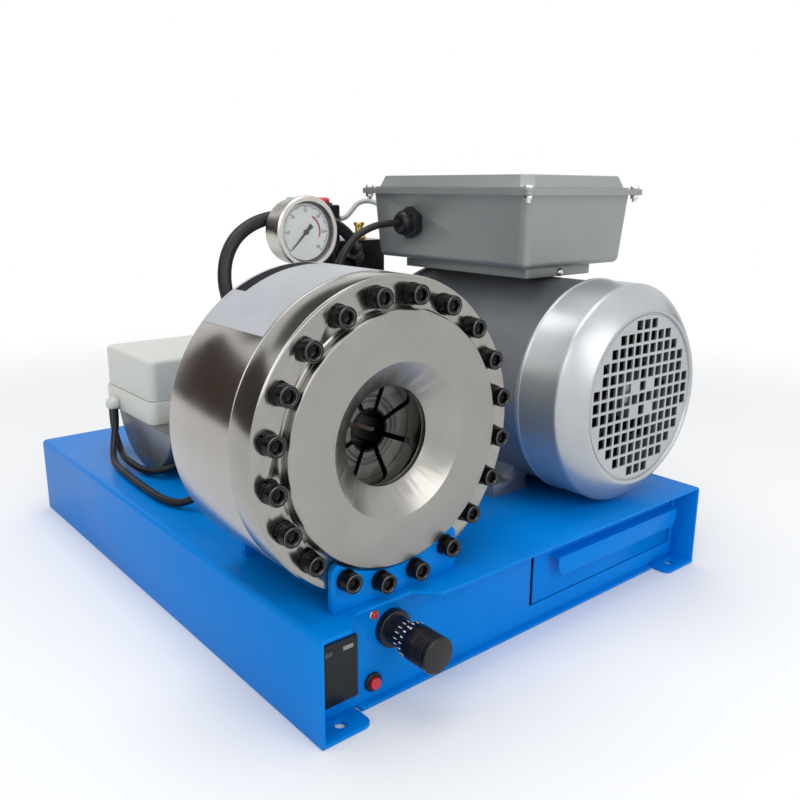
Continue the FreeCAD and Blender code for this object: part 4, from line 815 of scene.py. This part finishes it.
step = math_node(circle, "MULTIPLY", circle_in["Step Out"],
                 between(circle_in["Step From"], circle_in["Step To"]))
step_out = add_node(circle, "GeometryNodeSetPosition", {
    "Geometry": stand_up.outputs[0],
    "Offset": combined(circle, Y=math_node(circle, "MULTIPLY", step, -1.0))})
chance = add_node(circle, "FunctionNodeRandomValue", {
    RANDOM_MAX: circle_in["Turn"], "Seed": circle_in["Seed"]}, data_type="FLOAT")
finish_tree(circle, circle_in, circle_out, set_out(
    circle, step_out.outputs[0], circle_in["Fastener"],
    Rotation=combined(circle, Y=chance.outputs[1]),
    Selection=between(circle_in["Keep From"], circle_in["Keep To"])))
print("bolt circle nodes:", len(circle.nodes))

# %% Set out the screws and the washers
SCREW_PHASE = math.radians(8.8)
FLANGE_Y = -0.279
FLANGE_T = 0.030
BODY_LONG = 0.095
CRADLE_T = 0.006
WASHER_T = 0.0022


def joined(name, pieces):
    """Join plain mesh pieces into one and drop the parts."""
    bm = bmesh.new()
    for piece in pieces:
        bm.from_mesh(piece.data)
        bpy.data.objects.remove(piece)
    mesh = bpy.data.meshes.new(name)
    bm.to_mesh(mesh)
    bm.free()
    return link_piece(name, mesh)


def bolt_circle(name, item, y, **values):
    return run_tree(name, circle, {
        "Fastener": item, "Count": SCREW_COUNT, "Radius": 0.112, "Phase": SCREW_PHASE,
        "Centre": (HEAD_AXIS[0], y, HEAD_AXIS[1]), "Turn": math.radians(50),
        "Material": SCREW_OXIDE, **values})


screw_set = joined("flange_screw_set", [
    bolt_circle("front_screws", screw_front, FLANGE_Y - WASHER_T),
    bolt_circle("rear_screws", screw_rear, FLANGE_Y + FLANGE_T + BODY_LONG + CRADLE_T,
                **{"Keep From": BRACKET_FROM, "Keep To": BRACKET_TO, "Step Out": 0.0})])
screw_set.data.set_sharp_from_angle(angle=SHARP_ANGLE)
dress(screw_set, SCREW_OXIDE, "black_oxide", "flange_screws")
washer_set = bolt_circle("spring_washer_set", washer_one, FLANGE_Y, Seed=11,
                         Turn=math.radians(350))
dress(washer_set, SCREW_OXIDE, "black_oxide", "spring_washers")
for spare in (screw_front, screw_rear, washer_one):
    bpy.data.objects.remove(spare)
# Count the points that carry the painted rim highlight.
rim_highlight_points = sum(1 for v in screw_set.data.attributes["rim_highlight"].data if v.value > 0.5)
print("screw set faces:", len(screw_set.data.polygons), "worn points:", rim_highlight_points)

# %% [markdown]
# ## Fan cover
# The cover is one pressed steel bowl: a flat disc with a rim, a broad shoulder, a short
# straight wall and a rolled bead where it meets the motor. Its outline is spun round
# the motor's axis as a closed loop, inside and out, and a second tree punches it.

# %% Spin the bowl
COVER_FRONT = -299.0
# Radius and depth, from the middle of the disc out to the bead and back inside.
COVER_OUTLINE = [
    (0, 2), (82.0, 2), (82.5, 2.9), (83.6, 2.9), (84.1, 1.6), (84.6, 0.5), (85.2, 0.06),
    (86.2, 0), (87.4, 0.1), (88.6, 0.7), (92.5, 3.6), (96.5, 6.8), (100.5, 10.3),
    (104.5, 14.1), (108.7, 18.6), (109.8, 20.1), (110.3, 21.6), (110.5, 23.4),
    (110.5, 63.9), (110.9, 64.6), (111.6, 65.4), (111.8, 66.6), (111.6, 68.0),
    (110.9, 69.2), (110.5, 69.9), (110.3, 70), (108.5, 70), (108.5, 27), (106.5, 21.5),
    (102.5, 15.0), (97.5, 9.6), (91.5, 5.0), (88.0, 2.8), (84.5, 4), (0, 4)]
bowl = spun("bowl", COVER_OUTLINE, MOTOR_AXIS, COVER_FRONT)
print("bowl faces:", len(bowl.data.polygons))

# %% The perforated disc tree
GRILLE_PITCH = 12.2
GRILLE_HOLE = 9.4
GRILLE_CORNER = 0.9
GRILLE_REACH = 6.2
GRILLE_ROWS = 6
PUNCH_LONG = 12.0

grille, grille_in, grille_out = geometry_tree("perforated_disc", [
    ("Punch", OBJECT, None), ("Pitch", VALUE, GRILLE_PITCH * MM),
    ("Rows", NUMBER, GRILLE_ROWS), ("Reach", VALUE, GRILLE_REACH),
    ("Blank From", VALUE, 1.2), ("Blank To", VALUE, 1.6), ("Centre", VECTOR, None)])
side_steps = math_node(grille, "MULTIPLY", grille_in["Rows"], 2.0)
side_count = math_node(grille, "ADD", side_steps, 1.0)
side_size = math_node(grille, "MULTIPLY", grille_in["Pitch"], side_steps)
hole_grid = add_node(grille, "GeometryNodeMeshGrid", {
    "Size X": side_size, "Size Y": side_size, "Vertices X": side_count,
    "Vertices Y": side_count})
spot = add_node(grille, "GeometryNodeInputPosition").outputs[0]
in_pitches = math_node(grille, "DIVIDE", length_of(grille, spot), grille_in["Pitch"])
not_blank = math_node(
    grille, "MAXIMUM", math_node(grille, "LESS_THAN", in_pitches, grille_in["Blank From"]),
    math_node(grille, "GREATER_THAN", in_pitches, grille_in["Blank To"]))
inside_reach = math_node(grille, "LESS_THAN", in_pitches, grille_in["Reach"])
punches = set_out(grille, hole_grid.outputs[0], grille_in["Punch"],
                  Selection=math_node(grille, "MULTIPLY", inside_reach, not_blank),
                  Rotation=(-UPRIGHT, 0, 0))
punches_real = add_node(grille, "GeometryNodeRealizeInstances", {0: punches})
punches_up = add_node(grille, "GeometryNodeTransform", {
    "Geometry": punches_real.outputs[0], "Rotation": (UPRIGHT, 0, 0),
    "Translation": grille_in["Centre"]})
cut = add_node(grille, "GeometryNodeMeshBoolean", {
    "Mesh 1": grille_in["Geometry"], "Mesh 2": punches_up.outputs[0]},
    operation="DIFFERENCE", solver="EXACT")
finish_tree(grille, grille_in, grille_out, cut.outputs["Mesh"])
print("grille nodes:", len(grille.nodes))

# %% Punch the grille


def rounded_square(side, corner):
    """Outline of a square with round corners, about its middle."""
    h = side / 2 - corner
    outline = []
    for cx, cz, start in ((h, h, 0), (-h, h, 90), (-h, -h, 180), (h, -h, 270)):
        for turned in (0, 30, 60, 90):
            a = math.radians(start + turned)
            outline.append((cx + corner * math.cos(a), cz + corner * math.sin(a)))
    return outline


punch = prism("punch", rounded_square(GRILLE_HOLE, GRILLE_CORNER), PUNCH_LONG / 2,
              PUNCH_LONG, smooth=True)
cover = run_tree("fan_cover_punched", grille, {
    "Punch": punch, "Pitch": GRILLE_PITCH * MM, "Rows": GRILLE_ROWS,
    "Reach": GRILLE_REACH, "Centre": (MOTOR_AXIS[0], (COVER_FRONT + 3) * MM, MOTOR_AXIS[1]),
    "Material": SILVER}, bowl.data)
for spare in (bowl, punch):
    bpy.data.objects.remove(spare)
cover.data.set_sharp_from_angle(angle=SHARP_ANGLE)
dress(cover, SILVER, "silver_paint", "fan_cover")
print("cover faces:", len(cover.data.polygons))

# %% [markdown]
# ## Gauge face, dial marks and other small things
# Small printed and fitted things tell the eye how big the machine is: the gauge's scale,
# the dashes on the size dial, the display's window, the lamp's bright ring and the bare
# plate on the barrel. Marks that repeat round an axis come from one more tree.

# %% The tree for marks round an axis
marks, marks_in, marks_out = geometry_tree("marks_round_an_axis", [
    ("Mark", OBJECT, None), ("Count", NUMBER, 10), ("Radius", VALUE, 0.02),
    ("Start", VALUE, 0.0), ("Step", VALUE, 0.1), ("Long Every", NUMBER, 5),
    ("Long Scale", VALUE, 1.0), ("Centre", VECTOR, None)])
mark_line = add_node(marks, "GeometryNodeMeshLine", {"Count": marks_in["Count"]})
mark_number = add_node(marks, "GeometryNodeInputIndex").outputs[0]
mark_angle = math_node(marks, "ADD", marks_in["Start"],
                       math_node(marks, "MULTIPLY", mark_number, marks_in["Step"]))
mark_place = combined(marks, **{
    socket: math_node(marks, "MULTIPLY", math_node(marks, wave, mark_angle),
                      marks_in["Radius"])
    for socket, wave in (("X", "COSINE"), ("Z", "SINE"))})
mark_set = add_node(marks, "GeometryNodeSetPosition", {
    "Geometry": mark_line.outputs[0],
    "Position": math_node(marks, "ADD", mark_place, marks_in["Centre"],
                          "ShaderNodeVectorMath")})
mark_turn = combined(marks, Y=math_node(marks, "MULTIPLY", mark_angle, -1.0))
mark_is_long = math_node(marks, "LESS_THAN", math_node(
    marks, "MODULO", mark_number, marks_in["Long Every"]), 0.5)
mark_stretch = math_node(marks, "MULTIPLY", mark_is_long,
                         math_node(marks, "SUBTRACT", marks_in["Long Scale"], 1.0))
mark_scale = combined(marks, X=math_node(marks, "ADD", 1.0, mark_stretch), Y=1.0, Z=1.0)
finish_tree(marks, marks_in, marks_out, set_out(
    marks, mark_set.outputs[0], marks_in["Mark"], Rotation=mark_turn, Scale=mark_scale))
print("mark nodes:", len(marks.nodes))


def marks_round(name, item, axis, y, radius, count, start, step, material, **more):
    """Set a mark out round an axis; the angles are in degrees and run from +X to +Z."""
    values = {"Mark": item, "Count": count, "Radius": radius * MM,
              "Start": math.radians(start), "Step": math.radians(step),
              "Centre": (axis[0], y * MM, axis[1]), "Material": material, **more}
    return run_tree(name, marks, values)


# %% Raised numbers
PRINT_HIGH = 0.06


def figure(text, size, x, y, z):
    """One raised number that faces the front, as a welded mesh."""
    curve = bpy.data.curves.new("figure", "FONT")
    curve.body = text
    curve.size = size * MM
    curve.align_x = "CENTER"
    curve.align_y = "CENTER"
    curve.extrude = PRINT_HIGH * MM
    curve.resolution_u = 3
    letter = link_piece("figure", curve)
    graph = bpy.context.evaluated_depsgraph_get()
    mesh = bpy.data.meshes.new_from_object(letter.evaluated_get(graph))
    bpy.data.objects.remove(letter)
    mesh.transform(Matrix.Translation((x * MM, y * MM, z * MM))
                   @ Matrix.Rotation(UPRIGHT, 4, "X"))
    bm = bmesh.new()
    bm.from_mesh(mesh)
    bmesh.ops.remove_doubles(bm, verts=bm.verts, dist=MERGE_GAP / 10)
    bm.to_mesh(mesh)
    bm.free()
    return link_piece("figure", mesh)


# %% Gauge face
GAUGE_START = 225.0
GAUGE_SWEEP = -270.0
GAUGE_STEPS = 60
GAUGE_FIGURES = 6
GAUGE_DIAL_Y = -63.0
TICK_R = 26.2
FIGURE_R = 20.4
FIGURE_SIZE = 4.4
dress(spun("gauge_face", [(0, 0), (28.7, 0), (28.7, 0.5), (0, 0.5)], GAUGE_AXIS,
           GAUGE_DIAL_Y - 0.55, 96), DIAL_WHITE, "white_plastic")
dress(spun("gauge_wall", [(28.72, 0), (29.42, 0), (29.42, 3.3), (27.0, 3.3), (27.0, 2.7),
                          (28.72, 2.3)], GAUGE_AXIS, GAUGE_DIAL_Y - 3.4, 96),
      BLACK_PLASTIC, "black_plastic")
tick = prism("tick", rectangle(-1.9, -0.3, 0, 0.3), 0, 0.14)
scale_print = [marks_round("gauge_ticks", tick, GAUGE_AXIS, GAUGE_DIAL_Y - 0.54, TICK_R,
                           GAUGE_STEPS + 1, GAUGE_START, GAUGE_SWEEP / GAUGE_STEPS,
                           DIAL_BLACK, **{"Long Every": 5, "Long Scale": 1.8})]
for k in range(GAUGE_FIGURES + 1):
    a = math.radians(GAUGE_START + GAUGE_SWEEP * k / GAUGE_FIGURES)
    scale_print.append(figure(
        str(10 * k), FIGURE_SIZE, GAUGE_AXIS[0] / MM + FIGURE_R * math.cos(a),
        GAUGE_DIAL_Y - 0.6, GAUGE_AXIS[1] / MM + FIGURE_R * math.sin(a)))
dress(joined("gauge_scale", scale_print), DIAL_BLACK, "black_plastic")
red_section = rectangle(15.6, GAUGE_DIAL_Y - 0.54, 17.4, GAUGE_DIAL_Y - 0.68)
dress(band("gauge_red_arc", GAUGE_AXIS, red_section, -18, 80), DIAL_RED, "red_plastic")
print("gauge ticks:", GAUGE_STEPS + 1, "numbers:", GAUGE_FIGURES + 1)

# %% Marks on the size dial
short_dash = prism("short_dash", rectangle(-0.3, -0.55, 0.12, 0.55), 1.3, 2.6)
long_dash = prism("long_dash", rectangle(-0.3, -0.4, 0.12, 0.4), 1.9, 3.8)
arrow = prism("arrow", rectangle(-0.3, -0.9, 0.12, 0.9), 0.7, 1.4)
thimble_marks = joined("thimble_marks", [
    marks_round("thimble_dashes", short_dash, DIAL_AXIS, -312.6, 15.0, 20, 4.0, 18.0,
                MARK_WHITE),
    marks_round("thimble_arrows", arrow, DIAL_AXIS, -315.4, 15.0, 4, 112.0, 90.0,
                MARK_WHITE)])
dress(thimble_marks, MARK_WHITE, "white_plastic", body="thimble")
dress(marks_round("sleeve_dashes", long_dash, DIAL_AXIS, -303.6, 12.0, 16, 11.0, 22.5,
                  MARK_WHITE), MARK_WHITE, "white_plastic")
for spare in (tick, short_dash, long_dash, arrow):
    bpy.data.objects.remove(spare)
print("thimble mark faces:", len(thimble_marks.data.polygons))

# %% Display, lamp ring, saddle screw and the bare plate on the barrel
DISPLAY_X = -215.5
PANEL_Y = -286.0
for name, outline, material in (
        ("display_window", rectangle(-14.0, 15.6, 14.2, 55.6), WINDOW),
        ("display_strip_left", rectangle(-14.6, 56.8, -7.6, 61.0), STRIP_DARK),
        ("display_strip_middle", rectangle(-5.6, 57.0, 1.0, 61.4), WINDOW),
        ("display_strip_right", rectangle(2.6, 57.6, 12.2, 61.0), STRIP_LIGHT)):
    piece = prism(name, [(DISPLAY_X + x, z) for x, z in outline], PANEL_Y + 0.1, 0.25)
    dress(piece, material, "black_plastic")

LAMP_AXIS = (-0.182, 0.077)
SADDLE_SCREW_AXIS = (0.146, 0.318)
LAMP_RING = [(2.85, 0.25), (3.2, 0), (3.9, 0), (4.35, 0.5), (4.4, 2.1), (2.85, 2.1)]
SADDLE_SCREW = [(0, 0), (2.2, 0.1), (3.4, 0.6), (4.1, 1.4), (4.4, 2.4), (4.4, 2.6),
                (2.4, 2.6), (2.4, 6), (0, 6)]
for name, outline, axis, y in (
        ("lamp_ring", LAMP_RING, LAMP_AXIS, PANEL_Y - 0.12),
        ("saddle_screw", SADDLE_SCREW, SADDLE_SCREW_AXIS, -187.8)):
    dress(spun(name, outline, axis, y, 48), ZINC, "zinc_steel")

BARREL_R = 126.0
for name, inner, outer, y0, y1, start, sweep, material, slot in (
        ("barrel_plate", BARREL_R - 0.2, BARREL_R + 0.28, -247.0, -157.0, 75.0, 62.5,
         PLATE, "silver_paint"),
        ("barrel_plate_bar", BARREL_R, BARREL_R + 0.36, -176.0, -160.0, 88.0, 33.0,
         DIAL_BLACK, "black_plastic")):
    dress(band(name, HEAD_AXIS, rectangle(inner, y0, outer, y1), start, sweep), material,
          slot)
print("barrel plate wraps", round(math.radians(62.5) * BARREL_R), "mm of the barrel")

# %% [markdown]
# ## Cables and hose
# A cable is one smooth line with a round section. A NURBS curve through a few control
# points bends the way rubber does, and the curve's bevel gives it its thickness. The
# points are the ones that the CAD tubes follow, so both lie in the same place.

# %% Route the cords
GLAND_TIP_X = 43.127
REAR_GLAND_TIP_Y = 38.296
GROMMET_TOP = 93.0
# Diameter in millimetres, length in metres, finish, slot, and the route.
ROUTES = {
    "motor_lead": (7.5, 0.333, RUBBER, "black_rubber",
                   [(GLAND_TIP_X, -42, 366), (24, -42, 366), (3, -41, 361.5),
                    (-17, -40, 351), (-34, -41, 333), (-44, -44, 308), (-48, -48, 280),
                    (-49, -54, 250), (-48, -60, 218), (-46, -65, 184), (-43, -71.5, 150),
                    (-40, -77, 118), (-40, -77, GROMMET_TOP)]),
    "signal_lead_a": (8.0, 0.308, RUBBER, "black_rubber",
                      [(-198, 200.2, 148), (-198, 200.2, 125.6), (-198, 194.6, 112),
                       (-198.5, 184.2, 101.6), (-200.5, 170.6, 96), (-203.5, 150, 95.6),
                       (-205, 128, 95.5), (-204, 106, 95.5), (-198.5, 87.5, 97),
                       (-187, 73, 102.5), (-171.5, 62.5, 111.5), (-156, 54.8, 123),
                       (-139.1, 47.5, 135), (-126.6, 39.7, 137.6), (-114.5, 30.8, 132.8),
                       (-105.1, 23.8, 122.2), (-100, 20, 107.9), (-100, 20, GROMMET_TOP)]),
    "signal_lead_b": (8.0, 0.406, RUBBER, "black_rubber",
                      [(-198, 191.8, 148), (-198, 191.8, 131), (-202.5, 187.3, 117),
                       (-208.5, 177.5, 105.5), (-215, 162.5, 97.5), (-219, 145, 94.8),
                       (-220.8, 124, 94.5), (-222.6, 98, 94.5), (-224, 68, 94.5),
                       (-224.5, 38, 94.5), (-224, 14, 94.5), (-220.5, -6, 95),
                       (-213.1, -21.4, 97.8), (-192.4, -46.4, 116.5), (-171, -72.5, 136),
                       (-161, -84.5, 137.6), (-151.5, -96.1, 132.8),
                       (-144.1, -105.1, 122.2), (-140, -110, 107.9),
                       (-140, -110, GROMMET_TOP)]),
    "station_lead": (6.0, 0.097, GREY_RUBBER, "grey_rubber",
                     [(105, REAR_GLAND_TIP_Y, 378), (105, 51, 378), (104.5, 64.5, 382),
                      (102, 77, 386.5), (96.5, 86.5, 387.5), (88, 91.5, 384),
                      (81, 92, 376.5), (73.5, 92, 369.5), (67, 92, 366), (59, 92, 366)]),
    "pressure_hose": (13.0, 0.356, RUBBER, "black_rubber",
                      [(-120, -65, 262), (-141, -65, 262), (-159, -62, 272),
                       (-171, -57, 290), (-175, -50, 314), (-169, -44, 339),
                       (-154, -39, 358), (-131, -34.5, 370), (-104, -29, 375),
                       (-76, -22, 376), (-48, -15, 373), (-22, -8, 367), (2, 1, 357),
                       (22, 13, 345), (36, 30, 333)]),
}


def cord_curve(name, diameter, points):
    curve = bpy.data.curves.new(name + "_line", "CURVE")
    curve.dimensions = "3D"
    curve.bevel_depth = diameter / 2 * MM
    curve.bevel_resolution = 8
    curve.resolution_u = 12
    curve.use_fill_caps = True
    spline = curve.splines.new("NURBS")
    spline.points.add(len(points) - 1)
    for control, point in zip(spline.points, points):
        control.co = (*(c * MM for c in point), 1)
    spline.order_u = 3
    spline.use_endpoint_u = True
    return link_piece(name + "_sheath", curve)


for name, (diameter, length, material, slot_name, points) in ROUTES.items():
    cord = cord_curve(name, diameter, points)
    dress(cord, material, slot_name, name)
    print(name, "length", length, "m")
